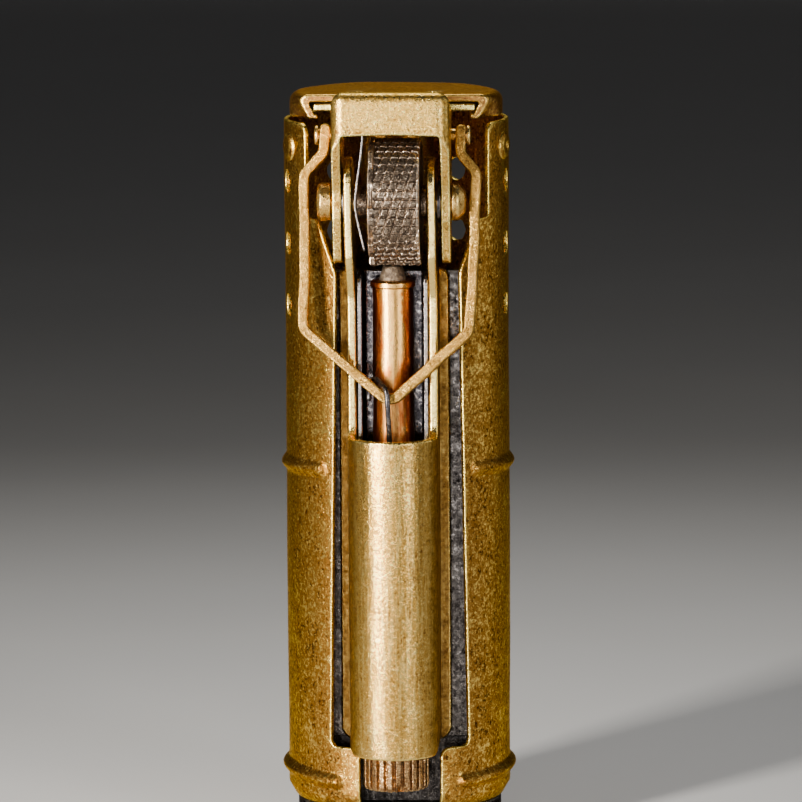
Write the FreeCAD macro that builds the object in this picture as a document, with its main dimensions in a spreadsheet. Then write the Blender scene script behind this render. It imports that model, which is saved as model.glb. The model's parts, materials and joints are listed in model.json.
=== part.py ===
import FreeCAD, Part

# A brass trench-style petrol lighter with a thumb lever, millimetres, +Z up, the thumb side at -Y.
# The origin is the centre of the base's underside, on the axis of the round case.

import math
import os
import Sketcher
from FreeCAD import Placement, Rotation, Vector

DIMENSIONS = {
    # round outer case
    "case_radius": 9.7,
    "case_wall": 0.45,
    "case_bottom": 3.45,
    "case_top": 62.7,
    "case_rim_bore": 8.65,
    "case_rim_radius": 9.0,
    "case_curl": 1.2,
    "window_half": 7.85,
    "window_floor": 54.6,
    "window_ledge_half": 6.9,
    "slot_half": 5.35,
    "slot_foot_half": 6.0,
    "slot_shoulder": 50.1,
    "slot_floor": 8.9,
    "foot_slot_half": 3.55,
    "case_turn": 3.0,
    "bead_tube": 0.65,
    "mid_bead_height": 32.8,
    "mid_bead_radius": 9.45,
    "mid_bead_gap": 43.4,
    "low_bead_height": 6.2,
    "low_bead_radius": 9.6,
    "low_bead_gap": 34.0,
    "vent_radius": 0.97,
    "vent_lowest": 46.7,
    "vent_pitch": 5.35,
    "vent_first_angle": -14.3,
    "vent_angle_step": 34.77,
    "stud_height": 60.5,
    "stud_radius": 1.3,
    "stud_shank": 0.6,
    "stud_reach": 10.05,
    "stud_angle": -18.0,
    # channel that holds the flint gear
    "housing_axis": -8.9,
    "housing_radius": 3.85,
    "housing_wall": 0.72,
    "housing_bottom": 9.1,
    "sleeve_lip": 8.5,
    "sleeve_lip_depth": -9.35,
    "sleeve_top": 36.1,
    "flange_half": 4.78,
    "flange_bottom": 9.5,
    "flange_top": 50.0,
    "ear_front": -10.6,
    "ear_round": 2.5,
    "ear_top": 60.1,
    "ear_start": 51.5,
    "partition_half": 7.75,
    "partition_front": -4.95,
    "partition_back": -4.45,
    "partition_bottom": 9.2,
    "liner_half": 3.05,
    "liner_wall": 0.4,
    "liner_front": -8.5,
    # flint tube and what it holds
    "tube_axis": -7.6,
    "tube_radius": 1.75,
    "tube_bore": 1.25,
    "tube_bottom": 9.3,
    "tube_top": 49.5,
    "tube_collar": 1.95,
    "flint_radius": 1.15,
    "flint_bottom": 45.0,
    "flint_shoulder": 49.6,
    "flint_tip": 50.7,
    "flint_tip_radius": 0.75,
    "plunger_bottom": 42.0,
    "flint_spring_bore": 0.8,
    "screw_radius": 2.9,
    "screw_bottom": 5.3,
    "screw_shank": 13.0,
    "seat_top": 13.6,
    "spring_radius": 2.2,
    "spring_bore": 1.78,
    "spring_top": 33.2,
    # axle and wheel
    "axle_front": -8.4,
    "axle_height": 56.25,
    "axle_radius": 1.0,
    "axle_head_radius": 1.65,
    "axle_head_inner": 5.2,
    "axle_half": 6.35,
    "washer_radius": 1.8,
    "washer_inner": 3.9,
    "washer_outer": 4.18,
    "running_gap": 0.04,
    "wheel_radius": 5.5,
    "wheel_left": -2.0,
    "wheel_width": 4.5,
    "wheel_boss": 1.4,
    "wheel_boss_half": 3.0,
    # thumb lever and lid
    "lever_half": 5.03,
    "lever_sheet": 0.8,
    "lever_front": -12.0,
    "lever_top": 65.8,
    "lever_lip": 62.2,
    "lever_foot": 51.0,
    "lever_boss": 1.9,
    "lever_tongue": -4.15,
    "lever_tongue_bend": -5.2,
    "lever_tongue_top": 64.25,
    "lid_radius": 9.2,
    "lid_sheet": 0.65,
    "lid_top": 65.0,
    "lid_bottom": 62.9,
    "lid_lip": 0.9,
    "lid_front": -4.1,
    "lid_round": 0.9,
    "lid_liner_radius": 7.9,
    "lid_liner_top": 64.2,
    "lid_rivet_radius": 0.7,
    "lid_rivet_half": 3.4,
    "lid_rivet_depth": -1.0,
    "snuffer_radius": 3.2,
    "snuffer_wall": 0.4,
    "snuffer_bottom": 53.2,
    "wick_depth": 2.5,
    # bail, its pins and the hook on the main spring
    "bail_pin_depth": -6.6,
    "bail_pin_height": 61.75,
    "bail_pin_radius": 0.55,
    "bail_strip": 0.9,
    "bail_depth": 1.4,
    "bail_tab_half": 5.82,
    "bail_foot_depth": -10.8,
    "bail_foot_height": 39.2,
    "wire_radius": 0.23,
    # petrol tank
    "tank_radius": 8.4,
    "tank_wall": 0.4,
    "tank_flat": -4.15,
    "tank_top": 47.0,
    "base_radius": 8.87,
    "base_top": 3.4,
    "filler_recess": 4.2,
    "filler_recess_depth": 1.6,
    "filler_head": 3.8,
    "filler_thread": 2.25,
    "wick_tube_radius": 2.0,
    "wick_tube_top": 53.0,
    "wick_radius": 1.55,
    "wick_top": 54.6,
}

doc = FreeCAD.newDocument("lighter")
nodes = {}


class Size:
    """A dimension: its value, and the expression that gives it from the sheet."""

    def __init__(self, text, value):
        self.text = text
        self.value = value

    def _with(self, sign, other, swapped=False):
        other = as_size(other)
        left, right = (other, self) if swapped else (self, other)
        result = {
            "+": lambda: left.value + right.value,
            "-": lambda: left.value - right.value,
            "*": lambda: left.value * right.value,
            "/": lambda: left.value / right.value,
        }[sign]()
        return Size("(%s %s %s)" % (left.text, sign, right.text), result)

    def __add__(self, other):
        return self._with("+", other)

    def __radd__(self, other):
        return self._with("+", other, True)

    def __sub__(self, other):
        return self._with("-", other)

    def __rsub__(self, other):
        return self._with("-", other, True)

    def __mul__(self, other):
        return self._with("*", other)

    def __rmul__(self, other):
        return self._with("*", other, True)

    def __truediv__(self, other):
        return self._with("/", other)

    def __neg__(self):
        return self._with("*", -1)


def as_size(number):
    """A Size stays as it is, and a plain number becomes a constant Size."""
    if isinstance(number, Size):
        return number
    return Size("(%r)" % float(number), float(number))


class Sheet:
    """The driving dimensions, read as attributes: dim.case_radius."""

    def __init__(self):
        cells = doc.addObject("Spreadsheet::Sheet", "Sizes")
        for row, (alias, value) in enumerate(DIMENSIONS.items(), start=1):
            cells.set("A%d" % row, alias)
            cells.set("B%d" % row, str(value))
            cells.setAlias("B%d" % row, alias)
        doc.recompute()

    def __getattr__(self, alias):
        return Size("Sizes." + alias, DIMENSIONS[alias])


dim = Sheet()

ALONG = {
    "X": Rotation(Vector(0, 0, 1), Vector(1, 0, 0)),
    "Z": Rotation(),
}


def bind(item, name, size):
    """Ties one property of an object to the sheet."""
    item.setExpression(name, as_size(size).text)


def place(item, at):
    """Puts an object's base point at three sizes."""
    for letter, size in zip("xyz", at):
        bind(item, "Placement.Base." + letter, size)


def cylinder(radius, height, at=(0, 0, 0), along="Z"):
    item = doc.addObject("Part::Cylinder", "Cylinder")
    item.Placement = Placement(Vector(), ALONG[along])
    bind(item, "Radius", radius)
    bind(item, "Height", height)
    place(item, at)
    return item


def box(low, high):
    """A block between two corners."""
    item = doc.addObject("Part::Box", "Block")
    for name, start, end in zip(("Length", "Width", "Height"), low, high):
        bind(item, name, as_size(end) - start)
    place(item, low)
    return item


def cut(base, *tools):
    for tool in tools:
        item = doc.addObject("Part::Cut", "Cut")
        item.Base = base
        item.Tool = tool
        base = item
    return base


def fuse(*items):
    item = doc.addObject("Part::MultiFuse", "Join")
    item.Shapes = list(items)
    return item


def common(*items):
    item = doc.addObject("Part::MultiCommon", "Overlap")
    item.Shapes = list(items)
    return item


def tube(outer, bore, height, at=(0, 0, 0), along="Z"):
    return cut(cylinder(outer, height, at, along), cylinder(bore, height, at, along))


def group(*items):
    """Several separate solids in one node."""
    item = doc.addObject("Part::Compound", "Group")
    item.Links = list(items)
    return item


def origin_part(body, role):
    return [feature for feature in body.Origin.OriginFeatures if feature.Role == role][0]


def outline(body, plane, points):
    """A closed sketch of straight edges, each corner held by two dimensions from the sheet."""
    sketch = body.newObject("Sketcher::SketchObject", "Outline")
    sketch.AttachmentSupport = [(origin_part(body, plane), "")]
    sketch.MapMode = "FlatFace"
    corners = [(as_size(across), as_size(up)) for across, up in points]
    for index, (across, up) in enumerate(corners):
        next_across, next_up = corners[(index + 1) % len(corners)]
        start = Vector(across.value, up.value, 0)
        end = Vector(next_across.value, next_up.value, 0)
        sketch.addGeometry(Part.LineSegment(start, end), False)
    for index in range(len(corners)):
        follower = (index + 1) % len(corners)
        sketch.addConstraint(Sketcher.Constraint("Coincident", index, 2, follower, 1))
    for index, corner in enumerate(corners):
        for kind, size in zip(("DistanceX", "DistanceY"), corner):
            rule = sketch.addConstraint(Sketcher.Constraint(kind, -1, 1, index, 1, size.value))
            sketch.setExpression("Constraints[%d]" % rule, size.text)
    return sketch


def plate(plane, points, length, offset=None, symmetric=False):
    """A body padded from an outline on one of the origin planes."""
    body = doc.addObject("PartDesign::Body", "Plate")
    pad = body.newObject("PartDesign::Pad", "Pad")
    pad.Profile = outline(body, plane, points)
    bind(pad, "Length", length)
    if symmetric:
        pad.SideType = "Symmetric"
    body.Tip = pad
    if offset:
        place(body, offset)
    return body


def turned(points):
    """A body turned about the vertical axis from a half section given as (radius, height)."""
    body = doc.addObject("PartDesign::Body", "Turning")
    revolution = body.newObject("PartDesign::Revolution", "Revolution")
    revolution.Profile = outline(body, "XZ_Plane", points)
    revolution.ReferenceAxis = (origin_part(body, "Z_Axis"), [""])
    revolution.Angle = 360
    body.Tip = revolution
    return body


def node(label, item):
    """Names a finished sub-part, which becomes one file."""
    item.Label = label
    nodes[label] = item
    return item


def cos_degrees(angle):
    angle = as_size(angle)
    return Size("cos(%s * 1 deg)" % angle.text, math.cos(math.radians(angle.value)))


def sin_degrees(angle):
    angle = as_size(angle)
    return Size("sin(%s * 1 deg)" % angle.text, math.sin(math.radians(angle.value)))


def radial_pin(radius, inner, outer, height, angle):
    """A cylinder that points outwards from the case axis, at an angle from +X."""
    item = cylinder(radius, as_size(outer) - inner)
    turn = Rotation(Vector(0, 0, 1), as_size(angle).value)
    item.Placement = Placement(Vector(), turn.multiply(ALONG["X"]))
    place(item, (inner * cos_degrees(angle), inner * sin_degrees(angle), height))
    return item


def ball(radius, at):
    item = doc.addObject("Part::Sphere", "Ball")
    bind(item, "Radius", radius)
    place(item, at)
    return item


def bead(radius, height, gap):
    """A raised rib round the case that stops short of the front on both sides, with round ends."""
    start = gap - 90
    ring = doc.addObject("Part::Torus", "Ring")
    ring.Placement = Placement(Vector(), Rotation(Vector(0, 0, 1), start.value))
    bind(ring, "Radius1", radius)
    bind(ring, "Radius2", dim.bead_tube)
    bind(ring, "Angle3", 360 - gap * 2)
    place(ring, (0, 0, height))
    ends = []
    for side in (-1, 1):
        across = radius * sin_degrees(gap) * side
        ends.append(ball(dim.bead_tube, (across, radius * cos_degrees(gap) * -1, height)))
    inside = cylinder(dim.case_radius - dim.case_wall / 2, 4, (0, 0, height - 2))
    return cut(fuse(ring, *ends), inside)


def front_opening():
    """The cutter for the case front: a wide window, a slot down the front and a foot slot."""
    right = [
        (dim.window_half, dim.case_top + 1),
        (dim.window_half, dim.window_floor),
        (dim.window_ledge_half, dim.window_floor),
        (dim.slot_half, dim.slot_shoulder),
        (dim.slot_foot_half, dim.slot_floor),
        (dim.foot_slot_half, dim.slot_floor),
        (dim.foot_slot_half, dim.case_bottom - 1),
    ]
    left = [(across * -1, up) for across, up in reversed(right)]
    return plate("XZ_Plane", right + left, 10, (0, -3, 0))


def vents():
    holes = []
    for column in range(7):
        angle = dim.vent_first_angle + dim.vent_angle_step * column
        for row in range(3):
            height = dim.vent_lowest + dim.vent_pitch * row
            holes.append(radial_pin(dim.vent_radius, 8, 11, height, angle))
    return group(*holes)


def stud_angles():
    return (dim.stud_angle, 180 - dim.stud_angle)


def turned_with_case(item):
    """The case sits a few degrees round from the channel."""
    item.Placement = Placement(Vector(), Rotation(Vector(0, 0, 1), dim.case_turn.value))
    bind(item, "Placement.Rotation.Angle", dim.case_turn)
    return item


def outer_case():
    bore = dim.case_radius - dim.case_wall
    bend = dim.case_bottom + dim.case_curl
    shell = turned([
        (dim.case_radius, dim.case_top),
        (dim.case_radius, bend),
        (dim.case_rim_radius, dim.case_bottom),
        (dim.case_rim_bore, dim.case_bottom),
        (bore, bend),
        (bore, dim.case_top),
    ])
    middle = bead(dim.mid_bead_radius, dim.mid_bead_height, dim.mid_bead_gap)
    low = bead(dim.low_bead_radius, dim.low_bead_height, dim.low_bead_gap)
    stud_holes = []
    for angle in stud_angles():
        stud_holes.append(radial_pin(dim.stud_shank, 8, 11, dim.stud_height, angle))
    solid = cut(fuse(shell, middle, low), front_opening(), vents(), *stud_holes)
    return node("outer_case", turned_with_case(solid))


def case_studs():
    skin = cylinder(dim.case_radius, dim.case_top)
    studs = []
    for angle in stud_angles():
        head = radial_pin(dim.stud_radius, 9, dim.stud_reach, dim.stud_height, angle)
        shank = radial_pin(dim.stud_shank, dim.case_radius - 0.9, 9.9, dim.stud_height, angle)
        studs.append(fuse(cut(head, skin), shank))
    return node("case_studs", turned_with_case(group(*studs)))


def partition_plate():
    low = (-dim.partition_half, dim.partition_front, dim.partition_bottom)
    high = (dim.partition_half, dim.partition_back, dim.flange_top)
    return node("partition_plate", box(low, high))


def ear_outline():
    """The side plates' upper profile as (depth, height), without the round top."""
    back = dim.ear_front + dim.ear_round * 2
    shoulder = dim.ear_top - dim.ear_round
    return [
        (dim.housing_axis, dim.ear_start - 3),
        (dim.ear_front, dim.ear_start),
        (dim.ear_front, shoulder),
        (back, shoulder),
        (back, dim.ear_start - 3),
    ]


def flint_housing():
    """A channel with a closed front below, and two side plates that carry the axle above."""
    half = dim.housing_radius
    inner = half - dim.housing_wall
    front = dim.housing_axis
    back = dim.partition_front
    low = dim.housing_bottom
    sleeve = cylinder(half, dim.sleeve_top - low, (0, front, low))
    lip = cut(
        cylinder(half, low - dim.sleeve_lip + 1, (0, front, dim.sleeve_lip)),
        box((-half - 1, dim.sleeve_lip_depth, dim.sleeve_lip - 1), (half + 1, 0, low + 2)),
    )
    sides = box((-half, front, low), (half, back, dim.ear_start))
    flanges = box(
        (-dim.flange_half, back - dim.housing_wall, dim.flange_bottom),
        (dim.flange_half, back, dim.flange_top),
    )
    ears = plate("YZ_Plane", ear_outline(), half * 2, symmetric=True)
    round_depth = dim.ear_front + dim.ear_round
    tops = cylinder(dim.ear_round, half * 2, (-half, round_depth, dim.ear_top - dim.ear_round), "X")
    bore = cylinder(inner, dim.sleeve_top - low + 3, (0, front, low - 2))
    channel = box((-inner, front, low - 1), (inner, back + 1, dim.ear_top + 1))
    throat = box((-inner, dim.ear_front - 1, dim.sleeve_top), (inner, back + 1, dim.ear_top + 1))
    axle_hole = axle_cylinder(dim.axle_radius + dim.running_gap / 2, -half - 1, half + 1)
    return node(
        "flint_housing",
        cut(fuse(sleeve, lip, sides, flanges, ears, tops), bore, channel, throat, axle_hole),
    )


def axle_cylinder(radius, left, right):
    """A cylinder on the axle's axis, from one place along X to another."""
    return cylinder(radius, as_size(right) - left, (left, dim.axle_front, dim.axle_height), "X")


def steel_liner():
    half = dim.liner_half
    low = dim.housing_bottom
    high = dim.flange_top
    block = box((-half, dim.liner_front, low), (half, dim.partition_front, high))
    inner = half - dim.liner_wall
    back = dim.partition_front - dim.liner_wall
    hollow = box((-inner, dim.liner_front - 1, low - 1), (inner, back, high + 1))
    return node("steel_liner", cut(block, hollow))


def on_tube_axis(radius, low, high):
    return cylinder(radius, as_size(high) - low, (0, dim.tube_axis, low))


def flint_tube():
    pipe = on_tube_axis(dim.tube_radius, dim.tube_bottom, dim.tube_top)
    collar = on_tube_axis(dim.tube_collar, dim.tube_top - 0.6, dim.tube_top)
    bore = on_tube_axis(dim.tube_bore, dim.tube_bottom - 1, dim.tube_top + 1)
    return node("flint_tube", cut(fuse(pipe, collar), bore))


def flint():
    stick = on_tube_axis(dim.flint_radius, dim.flint_bottom, dim.flint_shoulder)
    tip = doc.addObject("Part::Cone", "Tip")
    bind(tip, "Radius1", dim.flint_radius)
    bind(tip, "Radius2", dim.flint_tip_radius)
    bind(tip, "Height", dim.flint_tip - dim.flint_shoulder)
    place(tip, (0, dim.tube_axis, dim.flint_shoulder))
    return node("flint", fuse(stick, tip))


def flint_plunger():
    stop = dim.flint_bottom - 0.02
    return node("flint_plunger", on_tube_axis(dim.flint_radius, dim.plunger_bottom, stop))


def flint_spring():
    """The closed outer form of the small coil that pushes the flint."""
    low = dim.screw_shank + 0.05
    high = dim.plunger_bottom - 0.02
    coil = on_tube_axis(dim.flint_radius, low, high)
    bore = on_tube_axis(dim.flint_spring_bore, low, high)
    return node("flint_spring", cut(coil, bore))


def flint_screw():
    head = on_tube_axis(dim.screw_radius, dim.screw_bottom, dim.housing_bottom - 0.05)
    shank = on_tube_axis(dim.tube_bore - 0.05, dim.housing_bottom - 0.5, dim.screw_shank)
    return node("flint_screw", fuse(head, shank))


def spring_seat():
    """The ring at the foot of the flint tube that holds the main spring's lower end."""
    low = dim.seat_top - 1.6
    ring = on_tube_axis(dim.spring_radius, low, dim.seat_top)
    bore = on_tube_axis(dim.tube_radius, low, dim.seat_top)
    return node("spring_seat", cut(ring, bore))


def main_spring():
    """The closed outer form of the coil that pulls the bail down."""
    low = dim.seat_top + 0.02
    coil = on_tube_axis(dim.spring_radius, low, dim.spring_top)
    bore = on_tube_axis(dim.spring_bore, low, dim.spring_top)
    return node("main_spring", cut(coil, bore))


def wheel_axle():
    half = dim.axle_half
    pin = axle_cylinder(dim.axle_radius, -half, half)
    left = axle_cylinder(dim.axle_head_radius, -half, -dim.axle_head_inner)
    right = axle_cylinder(dim.axle_head_radius, dim.axle_head_inner, half)
    return node("wheel_axle", fuse(pin, left, right))


def axle_washers():
    rings = []
    for left in (dim.washer_inner, -dim.washer_outer):
        right = left + dim.washer_outer - dim.washer_inner
        bore = axle_cylinder(dim.axle_radius + dim.running_gap / 2, left, right)
        rings.append(cut(axle_cylinder(dim.washer_radius, left, right), bore))
    return node("axle_washers", group(*rings))


def flint_wheel():
    right = dim.wheel_left + dim.wheel_width
    disc = axle_cylinder(dim.wheel_radius, dim.wheel_left, right)
    hub = axle_cylinder(dim.wheel_boss, -dim.wheel_boss_half, dim.wheel_boss_half)
    reach = dim.wheel_boss_half + 1
    bore = axle_cylinder(dim.axle_radius + dim.running_gap, -reach, reach)
    return node("flint_wheel", cut(fuse(disc, hub), bore))


def lever_outline():
    """Side profile of the thumb lever as (depth, height): thumb bar, leg and sloping tongue."""
    axle = dim.axle_front
    boss = dim.lever_boss
    back = dim.bail_pin_depth + 1.2
    under = dim.lever_tongue_top - dim.lever_sheet
    return [
        (dim.lever_front, dim.lever_top),
        (dim.lever_front, dim.lever_lip),
        (axle - boss, dim.axle_height),
        (axle - boss / 2, dim.lever_foot),
        (axle + boss / 2, dim.lever_foot),
        (axle + boss, dim.axle_height),
        (back, dim.bail_pin_height - 1.2),
        (back, under),
        (dim.lever_tongue, under),
        (dim.lever_tongue, dim.lever_tongue_top),
        (dim.lever_tongue_bend, dim.lever_tongue_top),
        (dim.lever_front + dim.lever_sheet * 2, dim.lever_top),
    ]


def lever_hollow():
    """The cutter for the space inside the bent sheet, between the two legs."""
    sheet = dim.lever_sheet
    bar_back = dim.lever_front + sheet
    under = dim.lever_tongue_top - sheet
    points = [
        (bar_back, dim.lever_top - sheet),
        (bar_back, dim.lever_foot - 1),
        (0, dim.lever_foot - 1),
        (0, under),
        (dim.lever_tongue_bend - sheet / 4, under),
        (bar_back + sheet * 0.75, dim.lever_top - sheet),
    ]
    return plate("YZ_Plane", points, (dim.lever_half - sheet) * 2, symmetric=True)


def thumb_lever():
    half = dim.lever_half
    inner = half - dim.lever_sheet
    body = plate("YZ_Plane", lever_outline(), half * 2, symmetric=True)
    below_bar = box((-inner, dim.lever_front - 1, dim.lever_foot - 1), (inner, 0, dim.lever_lip))
    reach = half + 1
    axle_hole = axle_cylinder(dim.axle_radius + dim.running_gap, -reach, reach)
    pin_hole = bail_cylinder(dim.bail_pin_radius + dim.running_gap / 2, -reach, reach)
    return node("thumb_lever", cut(body, lever_hollow(), below_bar, axle_hole, pin_hole))


def bail_cylinder(radius, left, right):
    """A cylinder on the bail pins' axis."""
    at = (left, dim.bail_pin_depth, dim.bail_pin_height)
    return cylinder(radius, as_size(right) - left, at, "X")


def bail_pins():
    pins = []
    inner = dim.lever_half - dim.lever_sheet + 0.05
    outer = dim.bail_tab_half + dim.bail_strip
    for side in (-1, 1):
        ends = sorted((inner * side, outer * side), key=lambda size: size.value)
        head_start = outer - 0.35
        head_ends = sorted((head_start * side, outer * side), key=lambda size: size.value)
        shank = bail_cylinder(dim.bail_pin_radius, *ends)
        pins.append(fuse(shank, bail_cylinder(dim.bail_pin_radius + 0.3, *head_ends)))
    return node("bail_pins", group(*pins))


def lid_rivet_bars(radius):
    bars = []
    low = dim.lid_liner_top - 0.9
    for side in (-1, 1):
        at = (dim.lid_rivet_half * side, dim.lid_rivet_depth, low)
        bars.append(cylinder(radius, dim.lid_top - low, at))
    return bars


def lid_rivets():
    return node("lid_rivets", group(*lid_rivet_bars(dim.lid_rivet_radius)))


def in_front_of_lid():
    """The cutter that takes the front off the round lid pieces."""
    return box((-12, -14, dim.lid_bottom - 2), (12, dim.lid_front, dim.lid_top + 2))


def lid_cap():
    radius = dim.lid_radius
    inner = radius - dim.lid_sheet
    under = dim.lid_top - dim.lid_sheet
    lip_top = dim.lid_bottom + 0.45
    shell = turned([
        (0, dim.lid_top),
        (radius - dim.lid_round, dim.lid_top),
        (radius - dim.lid_round * 0.3, dim.lid_top - dim.lid_round * 0.3),
        (radius, dim.lid_top - dim.lid_round),
        (radius, dim.lid_bottom),
        (radius - dim.lid_lip, dim.lid_bottom),
        (radius - dim.lid_lip, lip_top),
        (inner, lip_top),
        (inner, under - 0.4),
        (inner - 0.4, under),
        (0, under),
    ])
    rivets = group(*lid_rivet_bars(dim.lid_rivet_radius + dim.running_gap / 2))
    return node("lid_cap", cut(shell, in_front_of_lid(), rivets))


def lid_liner():
    low = dim.lid_liner_top - dim.lid_sheet
    disc = cylinder(dim.lid_liner_radius, dim.lid_sheet, (0, 0, low))
    rivets = group(*lid_rivet_bars(dim.lid_rivet_radius + dim.running_gap / 2))
    return node("lid_liner", cut(disc, in_front_of_lid(), rivets))


def on_wick_axis(radius, low, high):
    return cylinder(radius, as_size(high) - low, (0, dim.wick_depth, low))


def snuffer_ceiling():
    return dim.lid_liner_top - dim.lid_sheet - 0.02


def snuffer_cup():
    top = snuffer_ceiling()
    low = dim.snuffer_bottom
    cup = on_wick_axis(dim.snuffer_radius, low, top)
    hollow = on_wick_axis(dim.snuffer_radius - dim.snuffer_wall, low - 1, top - dim.snuffer_wall)
    return node("snuffer_cup", cut(cup, hollow))


def snuffer_pad():
    top = snuffer_ceiling() - dim.snuffer_wall - 0.02
    return node("snuffer_pad", on_wick_axis(dim.snuffer_radius - 0.45, top - 1.5, top))


def ribbon(points, thickness):
    """The closed outline of a bent strip of even thickness, from the middle line of its edge."""
    half = thickness / 2
    corners = [Vector(across, up, 0) for across, up in points]
    left = []
    right = []
    for index, corner in enumerate(corners):
        before = corners[max(index - 1, 0)]
        after = corners[min(index + 1, len(corners) - 1)]
        runs = [run.normalize() for run in (corner - before, after - corner) if run.Length > 0]
        normals = [Vector(-run.y, run.x, 0) for run in runs]
        mean = sum(normals, Vector()).normalize()
        reach = mean * (half / mean.dot(normals[0]))
        left.append(corner + reach)
        right.append(corner - reach)
    return [(point.x, point.y) for point in left + right[::-1]]


def pawl_spring():
    """The thin leaf under the thumb bar that drives the wheel's side teeth."""
    line = [(-2.35, 64.6), (-2.4, 61.5), (-2.95, 57.2), (-2.95, 55.6), (-2.2, 52.2)]
    depth = dim.lever_front + dim.lever_sheet + 0.02
    return node("pawl_spring", plate("XZ_Plane", ribbon(line, 0.2), 1.3, (0, depth + 1.3, 0)))


def bail_line():
    """The bail's middle line as (across, height above its pins), standing straight."""
    tab = dim.bail_tab_half.value
    length = bail_length()
    return [
        (-tab, 0.95),
        (-tab, -1.5),
        (-7.5, -3.3),
        (-7.55, -16.6),
        (-0.2, -length),
        (6.65, -16.8),
        (7.2, -3.2),
        (tab, -1.6),
        (tab, 0.85),
    ]


def bail_reach():
    """The bail's rise and its forward reach, from its foot to its pins."""
    rise = dim.bail_pin_height.value - dim.bail_foot_height.value
    forward = dim.bail_pin_depth.value - dim.bail_foot_depth.value
    return rise, forward


def bail_length():
    rise, forward = bail_reach()
    return math.hypot(rise, forward)


def bail():
    rise, forward = bail_reach()
    lean = math.degrees(math.atan2(forward, rise))
    strip = plate("XZ_Plane", ribbon(bail_line(), dim.bail_strip.value), dim.bail_depth)
    half = dim.bail_depth / 2
    strip.Placement = Placement(Vector(), Rotation(Vector(1, 0, 0), -lean))
    place(strip, (
        0,
        dim.bail_pin_depth + half * math.cos(math.radians(lean)),
        dim.bail_pin_height - half * math.sin(math.radians(lean)),
    ))
    holes = bail_cylinder(dim.bail_pin_radius + dim.running_gap, -8, 8)
    return node("bail", cut(strip, holes))


def spring_hook():
    """The wire that goes over the bail's foot and down to the main spring, with round bends."""
    route = [
        Vector(-2.0, -9.35, 39.4),
        Vector(-1.95, -9.4, 41.3),
        Vector(-1.45, -10.1, 41.75),
        Vector(-0.7, -11.3, 41.1),
        Vector(-0.3, -11.9, 40.2),
        Vector(-0.25, -11.92, 38.6),
        Vector(-0.2, -11.15, 36.3),
        Vector(-0.2, -10.4, 33.9),
    ]
    pieces = []
    for start, end in zip(route, route[1:]):
        run = end - start
        length = run.Length
        straight = cylinder(dim.wire_radius, length, (start.x, start.y, start.z))
        straight.Placement = Placement(start, Rotation(Vector(0, 0, 1), run))
        pieces.append(straight)
        pieces.append(ball(dim.wire_radius, (end.x, end.y, end.z)))
    return node("spring_hook", fuse(*pieces))


def tank_section(radius, flat, low, high):
    """A round block with a flat on its front side."""
    disc = cylinder(radius, as_size(high) - low, (0, 0, low))
    return common(disc, box((-10, flat, low), (10, 10, high)))


def tank_shell():
    wall = dim.tank_wall
    outer = tank_section(dim.tank_radius, dim.tank_flat, dim.base_top, dim.tank_top)
    hollow = tank_section(
        dim.tank_radius - wall, dim.tank_flat + wall, dim.base_top - 1, dim.tank_top + 1
    )
    return node("tank_shell", cut(outer, hollow))


def tank_top():
    gap = dim.tank_wall + 0.01
    disc = tank_section(
        dim.tank_radius - gap, dim.tank_flat + gap, dim.tank_top - 0.4, dim.tank_top
    )
    hole = on_wick_axis(dim.wick_tube_radius + 0.01, dim.tank_top - 2, dim.tank_top + 1)
    return node("tank_top", cut(disc, hole))


def tank_base():
    thread = dim.filler_thread + dim.running_gap
    return node("tank_base", turned([
        (thread, dim.base_top),
        (dim.base_radius, dim.base_top),
        (dim.base_radius, 0.45),
        (dim.base_radius - 0.45, 0),
        (dim.filler_recess, 0),
        (dim.filler_recess, dim.filler_recess_depth),
        (thread, dim.filler_recess_depth),
    ]))


def wick_tube():
    low = dim.tank_top - 4
    pipe = on_wick_axis(dim.wick_tube_radius, low, dim.wick_tube_top)
    bore = on_wick_axis(dim.wick_radius + 0.05, low - 1, dim.wick_tube_top + 1)
    return node("wick_tube", cut(pipe, bore))


def wick():
    return node("wick", on_wick_axis(dim.wick_radius, 20, dim.wick_top))


def cotton_wadding():
    gap = dim.tank_wall + 0.2
    block = tank_section(
        dim.tank_radius - gap, dim.tank_flat + gap, 6.5, dim.tank_top - 4.2
    )
    return node("cotton_wadding", cut(block, on_wick_axis(dim.wick_radius + 0.05, 19.9, 50)))


def filler_screw():
    head_low = dim.filler_recess_depth - 1.25
    head_high = dim.filler_recess_depth - 0.35
    head = cylinder(dim.filler_head, head_high - head_low, (0, 0, head_low))
    shank = cylinder(dim.filler_thread, 5.9 - head_low, (0, 0, head_low))
    slot = box((-5, -0.4, head_low - 1), (5, 0.4, head_low + 0.5))
    return node("filler_screw", cut(fuse(head, shank), slot))


def filler_gasket():
    low = dim.filler_recess_depth - 0.33
    thickness = 0.31
    ring = tube(dim.filler_head - 0.1, dim.filler_thread + 0.1, thickness, (0, 0, low))
    return node("filler_gasket", ring)


def build():
    for make in (
        outer_case, case_studs, partition_plate, flint_housing, steel_liner, flint_tube, flint,
        flint_plunger, flint_spring, flint_screw, spring_seat, main_spring, wheel_axle,
        axle_washers, flint_wheel, thumb_lever, bail_pins, lid_cap, lid_liner, lid_rivets,
        snuffer_cup, snuffer_pad, pawl_spring, bail, spring_hook, tank_shell, tank_top, tank_base,
        wick_tube, wick, cotton_wadding, filler_screw, filler_gasket,
    ):
        make()
    doc.recompute()


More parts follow.
